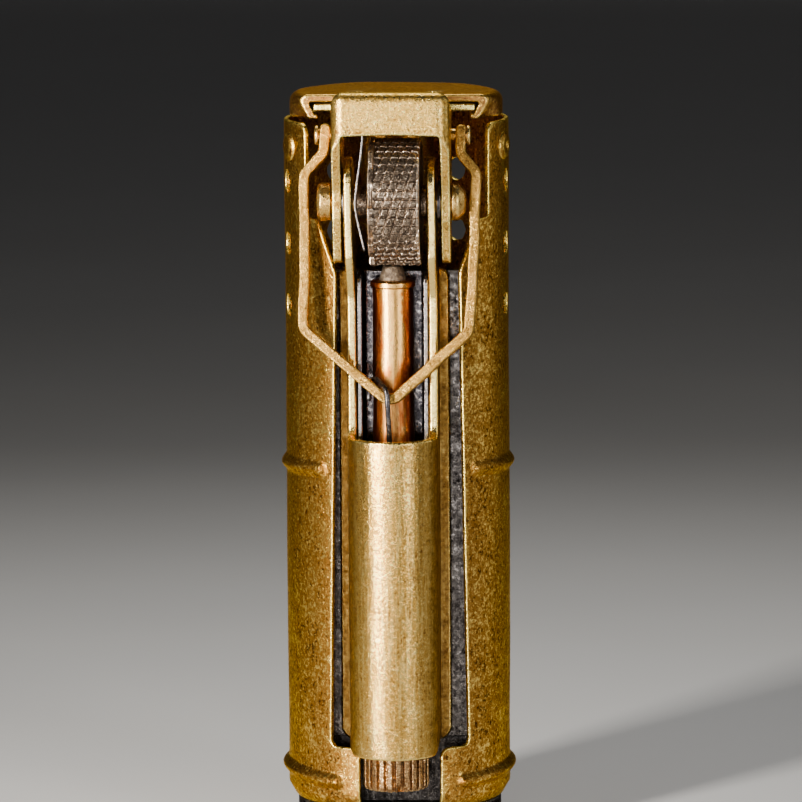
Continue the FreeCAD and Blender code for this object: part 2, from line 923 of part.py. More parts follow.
def check():
    """Stops on a failed object, or on a sub-part whose shape is missing or not sound."""
    for item in doc.Objects:
        if "Invalid" in item.State or "Error" in item.State:
            raise RuntimeError("%s (%s) failed: %s" % (item.Label, item.Name, item.State))
    for label, item in nodes.items():
        shape = item.Shape
        if shape.isNull() or not shape.isValid() or shape.Volume <= 0:
            raise RuntimeError("%s has no sound shape" % label)
        print("%-16s %2d solids %9.2f mm3" % (label, len(shape.Solids), shape.Volume))


def write():
    os.makedirs("parts", exist_ok=True)
    for label, item in nodes.items():
        item.Shape.exportStep("parts/%s.step" % label)


build()
check()
write()
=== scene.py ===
"""Looks for a brass trench lighter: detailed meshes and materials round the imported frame."""

import json
import math

import bpy
import numpy as np
from mathutils import Matrix, Vector, noise
from mathutils.geometry import delaunay_2d_cdt

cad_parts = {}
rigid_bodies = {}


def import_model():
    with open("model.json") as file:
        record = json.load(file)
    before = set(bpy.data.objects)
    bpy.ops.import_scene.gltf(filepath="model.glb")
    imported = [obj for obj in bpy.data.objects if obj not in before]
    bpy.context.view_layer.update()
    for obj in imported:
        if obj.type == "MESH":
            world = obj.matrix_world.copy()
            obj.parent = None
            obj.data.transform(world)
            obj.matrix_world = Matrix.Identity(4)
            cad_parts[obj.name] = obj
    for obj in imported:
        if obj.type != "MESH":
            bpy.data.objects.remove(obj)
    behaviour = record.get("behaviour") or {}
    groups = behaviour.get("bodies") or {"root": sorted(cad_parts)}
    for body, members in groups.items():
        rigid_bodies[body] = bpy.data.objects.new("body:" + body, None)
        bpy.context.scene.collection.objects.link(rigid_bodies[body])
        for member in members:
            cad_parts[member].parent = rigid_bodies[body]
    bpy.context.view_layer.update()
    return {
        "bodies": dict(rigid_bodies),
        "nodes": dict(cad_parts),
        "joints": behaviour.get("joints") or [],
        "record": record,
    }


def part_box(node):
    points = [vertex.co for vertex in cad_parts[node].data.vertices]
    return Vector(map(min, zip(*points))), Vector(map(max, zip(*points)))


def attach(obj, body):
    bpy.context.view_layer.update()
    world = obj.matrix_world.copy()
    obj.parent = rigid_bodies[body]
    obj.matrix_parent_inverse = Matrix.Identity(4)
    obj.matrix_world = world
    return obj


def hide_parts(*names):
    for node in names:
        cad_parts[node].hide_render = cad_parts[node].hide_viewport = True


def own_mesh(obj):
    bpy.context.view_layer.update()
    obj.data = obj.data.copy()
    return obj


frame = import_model()

MM = 0.001


def box_mm(node):
    """Lowest and highest corner of a CAD node, in millimetres."""
    low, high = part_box(node)
    return np.array(low) / MM, np.array(high) / MM


def middle_mm(node):
    """Middle of a CAD node's box, in millimetres."""
    low, high = box_mm(node)
    return (low + high) / 2


# Sizes in millimetres, read from the frame where it has them.
AXLE_Y, AXLE_Z = middle_mm("wheel_axle")[1:]
TUBE_Y = middle_mm("flint_tube")[1]
WICK_Y = middle_mm("wick_tube")[1]
CASE_R, CASE_WALL = 9.7, 0.45
CASE_LOW, CASE_HIGH = box_mm("outer_case")[0][2], box_mm("outer_case")[1][2]


# ---------------------------------------------------------------- mesh tools


def unit(rows):
    """Each row of an array as a vector of length 1."""
    return rows / np.maximum(np.linalg.norm(rows, axis=1), 1e-12)[:, None]


def length_of(*parts):
    return np.sqrt(sum(part * part for part in parts))


def smooth_step(value, low, high):
    """An S-shaped rise from 0 at low to 1 at high."""
    t = np.clip((value - low) / (high - low), 0, 1)
    return t * t * (3 - 2 * t)


def merged(parts):
    """Joins several (points, faces, normals, wear) meshes into one."""
    points, faces, normals, wear_and_shade, start = [], [], [], [], 0
    for part_points, part_faces, part_normals, part_wear in parts:
        points.append(part_points)
        faces += [[corner + start for corner in face] for face in part_faces]
        normals.append(part_normals)
        wear_and_shade.append(part_wear)
        start += len(part_points)
    return np.vstack(points), faces, np.vstack(normals), np.concatenate(wear_and_shade)


def field_gradient(field, points, step):
    """The field's slope at points, and how sharply it turns there."""
    shifted = []
    for axis in range(3):
        for side in (1, -1):
            moved = points.copy()
            moved[:, axis] += side * step
            shifted.append(field(moved[:, 0], moved[:, 1], moved[:, 2]))
    slope = np.stack([shifted[0] - shifted[1], shifted[2] - shifted[3], shifted[4] - shifted[5]], 1)
    centre = field(points[:, 0], points[:, 1], points[:, 2])
    bend = (sum(shifted) - 6 * centre) / step ** 2
    return slope / (2 * step), bend, centre


def field_mesh(field, low, high, step, edge=0.25):
    """The zero surface of a distance field, as (points, faces, normals, wear)."""
    axes = [np.arange(a - 2 * step, b + 3 * step, step) for a, b in zip(low, high)]
    grid = np.meshgrid(*axes, indexing="ij", sparse=True)
    shape = [len(axis) for axis in axes]
    value = np.ascontiguousarray(np.broadcast_to(field(*grid), shape), np.float32)
    inside = value < 0
    cells = np.array(shape)
    weights = np.array([cells[1] * cells[2], cells[2], 1])
    ids, spots = [], []
    for axis in range(3):
        lower, upper = [slice(None)] * 3, [slice(None)] * 3
        lower[axis], upper[axis] = slice(0, -1), slice(1, None)
        lower, upper = tuple(lower), tuple(upper)
        where = np.stack(np.nonzero(inside[lower] != inside[upper]), 1)
        at = tuple(where.T)
        first, second = value[lower][at], value[upper][at]
        spot = where.astype(np.float64)
        spot[:, axis] += first / (first - second)
        base = where @ weights
        turn_u, turn_v = weights[(axis + 1) % 3], weights[(axis + 2) % 3]
        around = np.stack([base, base - turn_u, base - turn_u - turn_v, base - turn_v], 1)
        backwards = first >= 0
        around[backwards] = around[backwards][:, ::-1]
        ids.append(around.ravel())
        spots.append(np.repeat(spot, 4, axis=0))
    _, index = np.unique(np.concatenate(ids), return_inverse=True)
    spots = np.vstack(spots)
    count = np.bincount(index)
    points = np.stack([np.bincount(index, spots[:, axis]) / count for axis in range(3)], 1)
    points = points * step + np.array([axis[0] for axis in axes])
    for _ in range(2):
        slope, _, distance = field_gradient(field, points, step * 0.2)
        length = np.maximum((slope ** 2).sum(1), 0.05)
        push = np.clip(distance / length, -step, step)
        points -= slope * push[:, None]
    slope, _, _ = field_gradient(field, points, step * 0.3)
    _, bend, _ = field_gradient(field, points, edge * 0.5)
    wear_and_shade = np.clip(bend * edge * 0.6, 0, 1)
    return points, index.reshape(-1, 4).tolist(), unit(slope), wear_and_shade


def both(first, second, rounding=0.0):
    """Where two fields overlap, with the edge between them rounded."""
    if np.isscalar(rounding) and rounding <= 0:
        return np.maximum(first, second)
    a, b = first + rounding, second + rounding
    corner = length_of(np.maximum(a, 0), np.maximum(b, 0)) - rounding
    return np.where(np.maximum(a, b) > 0, corner, np.maximum(first, second))


def either(first, second, rounding=0.0):
    """Two fields together, with a hollow fillet where they meet."""
    return -both(-first, -second, rounding)


def without(first, second, rounding=0.0):
    """The first field with the second one cut away."""
    return both(first, -second, rounding)


def polygon_field(u, v, corners):
    """Signed distance to a closed outline in a plane."""
    nearest = np.full(np.broadcast(u, v).shape, 1e9)
    inside = np.zeros(nearest.shape, bool)
    for (ax, ay), (bx, by) in zip(corners, corners[1:] + corners[:1]):
        run_x, run_y = bx - ax, by - ay
        along = ((u - ax) * run_x + (v - ay) * run_y) / (run_x ** 2 + run_y ** 2)
        along = np.clip(along, 0, 1)
        gap = length_of(u - ax - along * run_x, v - ay - along * run_y)
        nearest = np.minimum(nearest, gap)
        level = (ay > v) != (by > v)
        if run_y:
            inside ^= level & (u < run_x * (v - ay) / run_y + ax)
    return np.where(inside, -nearest, nearest)


def filleted(corners, steps=6):
    """A closed outline from (x, y, radius) corners, with each corner turned into an arc."""
    result = []
    count = len(corners)
    for index, (x, y, radius) in enumerate(corners):
        corner = Vector((x, y))
        before = Vector(corners[index - 1][:2]) - corner
        after = Vector(corners[(index + 1) % count][:2]) - corner
        turn = before.angle(after)
        if radius <= 0 or turn > math.pi - 0.01:
            result.append((x, y))
            continue
        reach = min(radius / math.tan(turn / 2), before.length * 0.48, after.length * 0.48)
        bend = reach * math.tan(turn / 2)
        middle = corner + (before.normalized() + after.normalized()).normalized() * (
            bend / math.sin(turn / 2)
        )
        start = corner + before.normalized() * reach - middle
        sweep = start.angle_signed(corner + after.normalized() * reach - middle)
        for step in range(steps + 1):
            turned = start.copy()
            turned.rotate(Matrix.Rotation(-sweep * step / steps, 2))
            result.append(tuple(middle + turned))
    return result


def subdivided_section(profile, longest):
    """The same open section with no run longer than a given length."""
    rows = [tuple(profile[0])]
    for start, end in zip(profile, profile[1:]):
        start, end = Vector(start), Vector(end)
        pieces = max(1, math.ceil((end - start).length / longest))
        rows += [tuple(start.lerp(end, step / pieces)) for step in range(1, pieces + 1)]
    return rows


def subdivided(outline, longest):
    """The same closed outline, with no edge longer than a given length."""
    return subdivided_section(outline + outline[:1], longest)[:-1]


def circle(x, y, radius, count=28):
    """A closed round outline, anticlockwise."""
    angles = [2 * math.pi * step / count for step in range(count)]
    return [(x + radius * math.cos(a), y + radius * math.sin(a)) for a in angles]


def outline_sides(outline):
    """At each corner of an outline, the direction that points out of it (to its right)."""
    spots = np.array(outline)
    after = unit(np.roll(spots, -1, 0) - spots)
    before = np.roll(after, 1, 0)
    side = unit(np.stack([after[:, 1] + before[:, 1], -after[:, 0] - before[:, 0]], 1))
    grow = np.clip((side * np.stack([after[:, 1], -after[:, 0]], 1)).sum(1), 0.4, 1)
    return side, 1 / grow


def area_of(outline):
    """Signed area, above 0 where the outline runs anticlockwise."""
    spots = np.array(outline)
    after = np.roll(spots, -1, 0)
    return (spots[:, 0] * after[:, 1] - after[:, 0] * spots[:, 1]).sum() / 2


def sheet_mesh(outline, holes, thickness, edge, place, fill=(), steps=3):
    """Sheet metal with rounded edges, as (points, faces, normals, wear).

    The outline and holes lie in the flat sheet's own plane. place(u, v, w) gives the bent sheet's
    points, with w from 0 to thickness. fill holds points inside the outline that carry bends.
    """
    loops = [outline if area_of(outline) > 0 else outline[::-1]]
    loops += [hole if area_of(hole) < 0 else hole[::-1] for hole in holes]
    edge = min(edge, thickness / 2)
    profile = []
    for sign in (1, -1):
        for step in range(steps + 1)[::sign]:
            outward = math.sin(math.pi / 2 * step / steps)
            upward = math.cos(math.pi / 2 * step / steps)
            drop = edge * (1 - upward)
            level = thickness - drop if sign > 0 else drop
            profile.append((edge * (1 - outward), level, outward, sign * upward))
    flat, tilt, wear_and_shade, faces, rims = [], [], [], [], []
    for loop in loops:
        spots = np.array(loop)
        side, grow = outline_sides(loop)
        rim = []
        for inset, level, outward, upward in profile:
            start = sum(len(block) for block in flat)
            moved = spots - side * grow[:, None] * inset
            flat.append(np.column_stack([moved, np.full(len(loop), level)]))
            tilt.append(np.column_stack([side * outward, np.full(len(loop), upward)]))
            wear_and_shade.append(np.full(len(loop), 0.35 + 0.65 * outward))
            rim.append(range(start, start + len(loop)))
        for first, second in zip(rim, rim[1:]):
            for a, b in zip(range(len(loop)), list(range(1, len(loop))) + [0]):
                faces.append([first[a], second[a], second[b], first[b]])
        rims.append((rim[0], rim[-1]))
    known = np.vstack(flat)
    start = len(known)
    under_ids = {a: b for top, under in rims for a, b in zip(top, under)}
    lookup = [i for top, _ in rims for i in top]
    spots = [Vector(known[i][:2]) for i in lookup] + [Vector(spot) for spot in fill]
    edges, first = [], 0
    for top, _ in rims:
        edges += [(first + a, first + (a + 1) % len(top)) for a in range(len(top))]
        first += len(top)
    made_spots, _, made_faces, origins = delaunay_2d_cdt(spots, edges, [], 2, 1e-6)[:4]
    top_of, under_of, extra = {}, {}, []
    for index, spot in enumerate(made_spots):
        source = origins[index][0] if origins[index] else None
        if source is not None and source < len(lookup):
            top_of[index], under_of[index] = lookup[source], under_ids[lookup[source]]
        else:
            top_of[index] = start + len(extra) * 2
            under_of[index] = top_of[index] + 1
            extra.append((spot.x, spot.y))
    for spot in extra:
        flat.append(np.array([[*spot, thickness], [*spot, 0.0]]))
        tilt.append(np.array([[0, 0, 1.0], [0, 0, -1.0]]))
        wear_and_shade.append(np.zeros(2))
    middles = np.array([sum((made_spots[i] for i in face), Vector((0, 0))) / len(face)
                        for face in made_faces])
    is_open = np.zeros(len(middles), bool)
    for hole in holes:
        is_open |= polygon_field(middles[:, 0], middles[:, 1], hole) < 0
    for face, gone in zip(made_faces, is_open):
        if not gone:
            faces.append([top_of[i] for i in face])
            faces.append([under_of[i] for i in reversed(face)])
    flat, tilt, wear_and_shade = np.vstack(flat), np.vstack(tilt), np.concatenate(wear_and_shade)
    u, v, w = flat.T
    nudge = 0.01
    along_u = unit(place(u + nudge, v, w) - place(u - nudge, v, w))
    along_v = unit(place(u, v + nudge, w) - place(u, v - nudge, w))
    across = np.cross(along_u, along_v)
    normals = along_u * tilt[:, :1] + along_v * tilt[:, 1:2] + across * tilt[:, 2:]
    return place(u, v, w), faces, unit(normals), wear_and_shade


def area_normals(points, faces):
    """Normals at the points, with large faces counting for more."""
    points = np.asarray(points, float)
    corners = np.array([face if len(face) == 4 else [*face, face[-1]] for face in faces])
    a, b, c, d = (points[corners[:, i]] for i in range(4))
    facing = np.cross(c - a, d - b)
    normals = np.zeros_like(points)
    for i in range(4):
        for axis in range(3):
            normals[:, axis] += np.bincount(corners[:, i], facing[:, axis], len(points))
    return unit(normals)


def ring_mesh(points, count, wear_and_shade):
    """Four-sided faces between rings of points, each ring with the same count."""
    faces = []
    for start in range(0, len(points) - count, count):
        for step in range(count):
            after = (step + 1) % count
            faces.append([start + step, start + after,
                          start + count + after, start + count + step])
    return points, faces, area_normals(points, faces), wear_and_shade


def eased(profile, steps=5):
    """An open section of (radius, height, rounding) corners, with the corners rounded."""
    result = [profile[0][:2]]
    for before, corner, after in zip(profile, profile[1:], profile[2:]):
        point = Vector(corner[:2])
        back, ahead = Vector(before[:2]) - point, Vector(after[:2]) - point
        reach = min(corner[2], back.length * 0.48, ahead.length * 0.48)
        if reach <= 0:
            result.append(corner[:2])
            continue
        start, end = point + back.normalized() * reach, point + ahead.normalized() * reach
        for step in range(steps + 1):
            t = step / steps
            result.append(tuple(start * (1 - t) ** 2 + point * 2 * t * (1 - t) + end * t ** 2))
    return result + [profile[-1][:2]]


def lathe(profile, at, count=64, along="Z", ripple=None):
    """Turns an open (radius, height) section; it starts and ends on the axis or closes on itself.

    ripple(angle, radius, height) gives a change of radius. The section runs so that its outside
    is on the right.
    """
    section = np.array(profile, float)
    angle = np.arange(count) * 2 * math.pi / count
    radius = np.repeat(section[:, :1], count, 1)
    height = np.repeat(section[:, 1:], count, 1)
    if ripple:
        radius = radius + np.where(radius > 0.01, ripple(angle[None, :], radius, height), 0)
    u, v = radius * np.cos(angle), radius * np.sin(angle)
    points = np.stack({"Z": (u, v, height), "X": (height, u, v)}[along], 2).reshape(-1, 3)
    run = np.diff(section, axis=0)
    heading = np.arctan2(run[:, 1], run[:, 0])
    turn = np.zeros(len(section))
    turn[1:-1] = (np.diff(heading) + math.pi) % (2 * math.pi) - math.pi
    wear_and_shade = np.repeat(np.clip(turn * 2.5, 0, 1), count)
    if ripple:
        wear_and_shade = np.maximum(wear_and_shade, np.clip((radius - section[:, :1]).ravel() * 2, 0, 1) * 0.6)
    return ring_mesh(points + np.array(at), count, wear_and_shade)


def wire(path, radius, sides):
    """A round wire along a line of points, with rounded ends."""
    path = np.asarray(path, float)
    run = unit(np.gradient(path, axis=0))
    across = np.cross(run[0], [0.3, 0.5, 0.9])
    frames = []
    for heading in run:
        across = across - heading * across.dot(heading)
        across /= np.linalg.norm(across)
        frames.append((across, np.cross(heading, across)))
    rings = [(spot, frame, radius) for spot, frame in zip(path, frames)]
    for share, width in ((0.85, 0.5), (0.98, 0.1), (1.0, 0.02)):
        rings.insert(0, (path[0] - run[0] * radius * share, frames[0], radius * width))
        rings.append((path[-1] + run[-1] * radius * share, frames[-1], radius * width))
    angle = np.arange(sides) * 2 * math.pi / sides
    points = []
    for spot, (first, second), size in rings:
        points.append(spot + size * (np.outer(np.cos(angle), first)
                                     + np.outer(np.sin(angle), second)))
    points = np.vstack(points)
    return ring_mesh(points, sides, np.full(len(points), 0.3))


def smooth_line(corners, count):
    """A curve through all the corners (Catmull-Rom)."""
    spots = np.array(corners, float)
    spots = np.vstack([2 * spots[0] - spots[1], spots, 2 * spots[-1] - spots[-2]])
    result = []
    for t in np.linspace(0, len(corners) - 1 - 1e-6, count):
        base = int(t)
        t -= base
        a, b, c, d = spots[base:base + 4]
        result.append(0.5 * (2 * b + (c - a) * t + (2 * a - 5 * b + 4 * c - d) * t ** 2
                             + (3 * b - a - 3 * c + d) * t ** 3))
    return np.array(result)


def coil_line(radius, low, high, turns, steps=26):
    """A spring's centre line, with a closed turn at each end."""
    t = np.linspace(0, 1, int(turns * steps))
    angle = t * turns * 2 * math.pi
    end = 1.2 / turns
    share = np.interp(t, [0, end, 1 - end, 1], [0.0, end * 0.35, 1 - end * 0.35, 1.0])
    return np.column_stack([radius * np.cos(angle), radius * np.sin(angle),
                            low + (high - low) * share])


def ripple_noise(points, size, seed):
    """Smooth noise from -1 to 1 at points in millimetres."""
    shift = Vector((seed * 7.31, seed * 3.17, seed * 5.71))
    return np.array([noise.noise(Vector(point) / size + shift) for point in points])


# ----------------------------------------------------------------- materials


class Shader:
    """A material's nodes, made one after another."""

    def __init__(self, name):
        self.material = bpy.data.materials.new(name)
        self.material.use_nodes = True
        self.tree = self.material.node_tree
        self.surface = self.tree.nodes["Principled BSDF"]
        place = self.add("TexCoord", {}, "Object")
        self.millimetres = self.add("VectorMath", {0: place, "Scale": 1 / MM}, operation="SCALE")

    def add(self, kind, inputs, output=0, **settings):
        """Adds a node, feeds its inputs and gives one of its outputs."""
        item = self.tree.nodes.new("ShaderNode" + kind)
        for key, value in settings.items():
            setattr(item, key, value)
        for key, value in inputs.items():
            self.feed(item.inputs[key], value)
        return item.outputs[output]

    def feed(self, socket, value):
        """Sets a socket to a number or colour, or links another socket to it."""
        if isinstance(value, bpy.types.NodeSocket):
            self.tree.links.new(value, socket)
        else:
            socket.default_value = (*value, 1) if isinstance(value, tuple) else value

    def noise(self, scale, detail=4.0, rough=0.6, warp=0.0, stretch=None):
        """Noise with a scale per millimetre, which stretch multiplies along X, Y and Z."""
        place = self.millimetres
        if stretch:
            place = self.add("VectorMath", {0: place, 1: list(stretch)}, operation="MULTIPLY")
        return self.add("TexNoise", {"Vector": place, "Scale": scale, "Detail": detail,
                                     "Roughness": rough, "Distortion": warp}, "Fac")

    def cells(self, scale):
        return self.add("TexVoronoi", {"Vector": self.millimetres, "Scale": scale}, "Distance")

    def math(self, operation, first, second=0.0, clamp=False):
        return self.add("Math", {0: first, 1: second}, operation=operation, use_clamp=clamp)

    def times(self, first, second):
        return self.math("MULTIPLY", first, second)

    def plus(self, first, second, clamp=False):
        return self.math("ADD", first, second, clamp)

    def spread(self, value, low, high, start=0.0, end=1.0):
        """Maps low..high onto start..end."""
        return self.add("MapRange", dict(enumerate((value, low, high, start, end))))

    def ramp(self, value, stops):
        """Colours along a value, from (position, colour) stops."""
        output = self.add("ValToRGB", {0: value})
        colours = output.node.color_ramp.elements
        colours[0].position, colours[0].color = stops[0][0], (*stops[0][1], 1)
        colours[1].position, colours[1].color = stops[-1][0], (*stops[-1][1], 1)
        for position, colour in stops[1:-1]:
            colours.new(position).color = (*colour, 1)
        return output

    def mix(self, share, first, second):
        return self.add("Mix", {0: share, 6: first, 7: second}, 2, data_type="RGBA")

    def attribute(self, name):
        return self.add("Attribute", {}, "Fac", attribute_name=name)

    def bump(self, height, distance, under=None):
        """Raised by a height map, by a distance in millimetres, over another bump."""
        below = {"Normal": under} if under else {}
        return self.add("Bump", {"Strength": 1.0, "Distance": distance * MM, "Height": height,
                                 **below}, "Normal")

    def set(self, **sockets):
        """Feeds the surface's sockets, which are named with _ for a space."""
        for name, value in sockets.items():
            self.feed(self.surface.inputs[name.replace("_", " ")], value)
        return self.material


def worn_metal(name, dark, base, bright, rough, patches=0.35, grain=3.0, grain_depth=0.035,
               scratch=(5.0, 5.0, 0.3), scratch_share=0.25, grime_and_shade=0.35, polish=1.0):
    """Used metal: patches of patina, fine pits and flecks, scratches, and bright rubbed edges.

    Above 0 the attribute marks rubbed edges; below 0 it marks painted shade, which darkens the
    colour.
    """
    shader = Shader(name)
    patina = shader.noise(patches, 7.0, 0.62, 0.4)
    mottle = shader.noise(patches * 4.5, 5.0, 0.7)
    pits = shader.noise(grain, 3.0, 0.8)
    flecks = shader.noise(grain * 1.7, 2.0, 0.6)
    streaks = shader.noise(1.0, 5.0, 0.7, 0.15, scratch)
    blend = shader.plus(shader.times(patina, 0.26), shader.times(mottle, 0.22))
    blend = shader.plus(blend, shader.times(pits, 0.52))
    tone = shader.ramp(blend, [(0.42, dark), (0.48, base), (0.53, base), (0.60, bright)])
    tone = shader.mix(shader.spread(flecks, 0.55, 0.66, 0.0, 0.6), tone, bright)
    tone = shader.mix(shader.spread(streaks, 0.48, 0.66, 0.0, scratch_share), tone, bright)
    dirt_and_shade = shader.spread(pits, 0.43, 0.33, 0.0, grime_and_shade)
    wear_and_shade = shader.attribute("wear_and_shade")
    # Painted shade: where the attribute is below 0 the colour darkens, broken up by the mottle, and
    # this goes in with the pit dirt.
    painted_shade = shader.times(shader.spread(wear_and_shade, 0.0, -1.0),
                         shader.spread(mottle, 0.3, 0.6, 0.95, 0.6))
    dirt_and_shade = shader.math("MAXIMUM", dirt_and_shade, painted_shade)
    tone = shader.mix(dirt_and_shade, tone, tuple(part * 0.5 for part in dark))
    broken = shader.plus(wear_and_shade, shader.math("SUBTRACT", mottle, 0.62))
    rubbed = shader.times(shader.spread(broken, 0.15, 0.6), polish)
    tone = shader.mix(rubbed, tone, tuple(min(1.0, part * 1.1) for part in bright))
    gloss = shader.spread(blend, 0.42, 0.58, rough[1], rough[0])
    gloss = shader.math("SUBTRACT", gloss, shader.times(rubbed, rough[0] * 0.35))
    gloss = shader.plus(gloss, shader.times(dirt_and_shade, 0.2), clamp=True)
    normal = shader.bump(flecks, grain_depth * 0.5, shader.bump(pits, grain_depth))
    normal = shader.bump(streaks, grain_depth * 0.45, normal)
    glint = tuple(min(1.0, part * 1.15) for part in bright)
    return shader.set(Base_Color=tone, Metallic=1.0, Roughness=gloss, Normal=normal,
                      Specular_Tint=glint)


# Each worn metal: its slot, its name, its dark, base and bright colours, how rough it is where
# bright and where dark, and what else differs from worn_metal's usual values.
WORN_METALS = (
    ("case_brass", "BodyBrass", (0.07, 0.022, 0.004), (0.33, 0.14, 0.02), (1.0, 0.66, 0.15),
     (0.24, 0.44), dict(grain=2.6, grain_depth=0.05, scratch_share=0.12)),
    ("housing_brass", "HousingBrass", (0.20, 0.085, 0.014), (0.54, 0.30, 0.055),
     (0.96, 0.68, 0.22), (0.16, 0.36),
     dict(scratch=(5.0, 5.0, 0.22), scratch_share=0.6, grime_and_shade=0.3)),
    ("lever_brass", "LeverBrass", (0.22, 0.09, 0.014), (0.66, 0.38, 0.07), (1.0, 0.74, 0.25),
     (0.2, 0.4), dict(grain_depth=0.045, scratch=(0.5, 5.0, 5.0))),
    ("bail_brass", "BailBrass", (0.07, 0.027, 0.005), (0.29, 0.14, 0.022), (0.78, 0.49, 0.13),
     (0.24, 0.42),
     dict(grain=5.0, grain_depth=0.06, scratch=(4.0, 4.0, 4.0), grime_and_shade=0.8, polish=0.4)),
    ("lid_brass", "LidBrass", (0.08, 0.025, 0.010), (0.30, 0.13, 0.035), (0.85, 0.54, 0.13),
     (0.26, 0.44), dict(patches=0.22, scratch=(0.4, 4.0, 4.0), scratch_share=0.12)),
    ("rivet_brass", "RivetBrass", (0.20, 0.085, 0.015), (0.56, 0.32, 0.08), (0.95, 0.68, 0.25),
     (0.2, 0.4), dict(patches=0.8, grain=4.0, scratch=(3.0, 3.0, 3.0))),
    ("knurled_brass", "KnurledBrass", (0.04, 0.015, 0.005), (0.22, 0.11, 0.04), (0.92, 0.62, 0.30),
     (0.22, 0.42), dict(patches=0.6, grain=4.0, scratch=(4.0, 4.0, 0.6))),
    ("wheel_steel", "WheelSteel", (0.02, 0.013, 0.010), (0.11, 0.076, 0.052), (0.78, 0.62, 0.46),
     (0.26, 0.46), dict(patches=0.6, grain=4.0, scratch=(3.0, 3.0, 3.0), polish=0.9)),
    ("dark_steel", "DarkSteel", (0.015, 0.014, 0.018), (0.06, 0.055, 0.062), (0.30, 0.27, 0.25),
     (0.22, 0.42), dict(patches=0.5, scratch=(5.0, 5.0, 0.4), polish=0.6, grain_depth=0.015)),
    # Painted shade: the nickel's colours are kept near black because the tank and plates inside the
    # case sit in shade.
    ("nickel", "Nickel", (0.012, 0.009, 0.008), (0.03, 0.025, 0.023), (0.19, 0.17, 0.155),
     (0.25, 0.5), dict(scratch=(4.0, 4.0, 0.3), scratch_share=0.3, grain_depth=0.02)),
)


def red_copper():
    """A brass tube gone orange and red from heat, with painted shade: pale down its front and
    darker towards its sides.
    """
    shader = Shader("RedCopper")
    patina = shader.noise(0.7, 6.0, 0.65, 0.6, (1.0, 1.0, 0.45))
    pits = shader.noise(4.0, 4.0, 0.7)
    streaks = shader.noise(1.0, 5.0, 0.7, 0.0, (6.0, 6.0, 0.3))
    parts = shader.add("SeparateXYZ", {0: shader.millimetres}).node
    # Painted shade: the colour runs from pale at the front to near black at the sides, as light
    # falls on the round tube, broken up by the patina.
    off_centre = shader.math("ABSOLUTE", parts.outputs[0])
    side = shader.spread(off_centre, 0.35, 1.45)
    side = shader.plus(side, shader.spread(patina, 0.35, 0.65, -0.55, 0.55), clamp=True)
    tone = shader.ramp(side, [(0.1, (0.78, 0.42, 0.11)), (0.4, (0.60, 0.20, 0.028)),
                              (0.72, (0.44, 0.10, 0.012)), (1.0, (0.15, 0.025, 0.005))])
    # Darker towards the foot, from 42.5 mm down to 38.5 mm.
    foot = shader.spread(parts.outputs[2], 42.5, 38.5)
    foot = shader.times(foot, shader.spread(patina, 0.4, 0.6, 0.35, 0.9))
    tone = shader.mix(foot, tone, (0.16, 0.03, 0.006))
    tone = shader.mix(shader.spread(streaks, 0.52, 0.7, 0.0, 0.3), tone, (0.86, 0.56, 0.24))
    tone = shader.mix(shader.spread(pits, 0.44, 0.3, 0.0, 0.5), tone, (0.08, 0.025, 0.01))
    gloss = shader.spread(patina, 0.3, 0.7, 0.22, 0.42)
    normal = shader.bump(streaks, 0.012, shader.bump(pits, 0.014))
    return shader.set(Base_Color=tone, Metallic=1.0, Roughness=gloss, Normal=normal)


def flint_alloy():
    shader = Shader("FlintAlloy")
    lumps = shader.noise(2.5, 6.0, 0.75)
    glints = shader.cells(7.0)
    tone = shader.ramp(lumps, [(0.35, (0.05, 0.035, 0.025)), (0.5, (0.16, 0.11, 0.07)),
                               (0.7, (0.42, 0.33, 0.22))])
    tone = shader.mix(shader.spread(glints, 0.2, 0.05, 0.0, 0.5), tone, (0.6, 0.5, 0.36))
    normal = shader.bump(glints, 0.03, shader.bump(lumps, 0.05))
    gloss = shader.spread(lumps, 0.3, 0.7, 0.4, 0.65)
    return shader.set(Base_Color=tone, Metallic=0.8, Roughness=gloss, Normal=normal)


def fibres(name, dark, light, stretch, tuft):
    """Pale fibres for cotton and felt."""
    shader = Shader(name)
    strands = shader.noise(1.0, 6.0, 0.7, 1.2, stretch)
    clumps = shader.noise(tuft, 4.0, 0.6)
    blend = shader.plus(shader.times(strands, 0.6), shader.times(clumps, 0.4))
    bright = tuple(min(1, part * 1.1) for part in light)
    tone = shader.ramp(blend, [(0.35, dark), (0.6, light), (0.75, bright)])
    wear_and_shade = shader.attribute("wear_and_shade")
    tone = shader.mix(shader.spread(wear_and_shade, 0.2, 1.0, 0.0, 0.7), tone, (0.06, 0.05, 0.045))
    normal = shader.bump(strands, 0.06, shader.bump(clumps, 0.08))
    return shader.set(Base_Color=tone, Roughness=shader.spread(clumps, 0.3, 0.7, 0.8, 0.95),
                      Normal=normal, Sheen_Weight=0.3)


def felt():
    return fibres("Felt", (0.16, 0.13, 0.10), (0.42, 0.37, 0.30), (6.0, 6.0, 6.0), 2.0)


def cotton():
    return fibres("Cotton", (0.42, 0.37, 0.30), (0.80, 0.76, 0.68), (7.0, 7.0, 2.5), 1.6)


def gasket_rubber():
    shader = Shader("GasketRubber")
    grain = shader.noise(3.0, 5.0, 0.65)
    dust = shader.noise(0.9, 5.0, 0.7)
    tone = shader.ramp(dust, [(0.35, (0.012, 0.011, 0.01)), (0.7, (0.06, 0.055, 0.05))])
    return shader.set(Base_Color=tone, Roughness=shader.spread(grain, 0.3, 0.7, 0.5, 0.75),
                      Normal=shader.bump(grain, 0.02))


MATERIALS = {slot: worn_metal(*values, **changes) for slot, *values, changes in WORN_METALS}
for make in (red_copper, flint_alloy, felt, cotton, gasket_rubber):
    MATERIALS[make.__name__] = make()


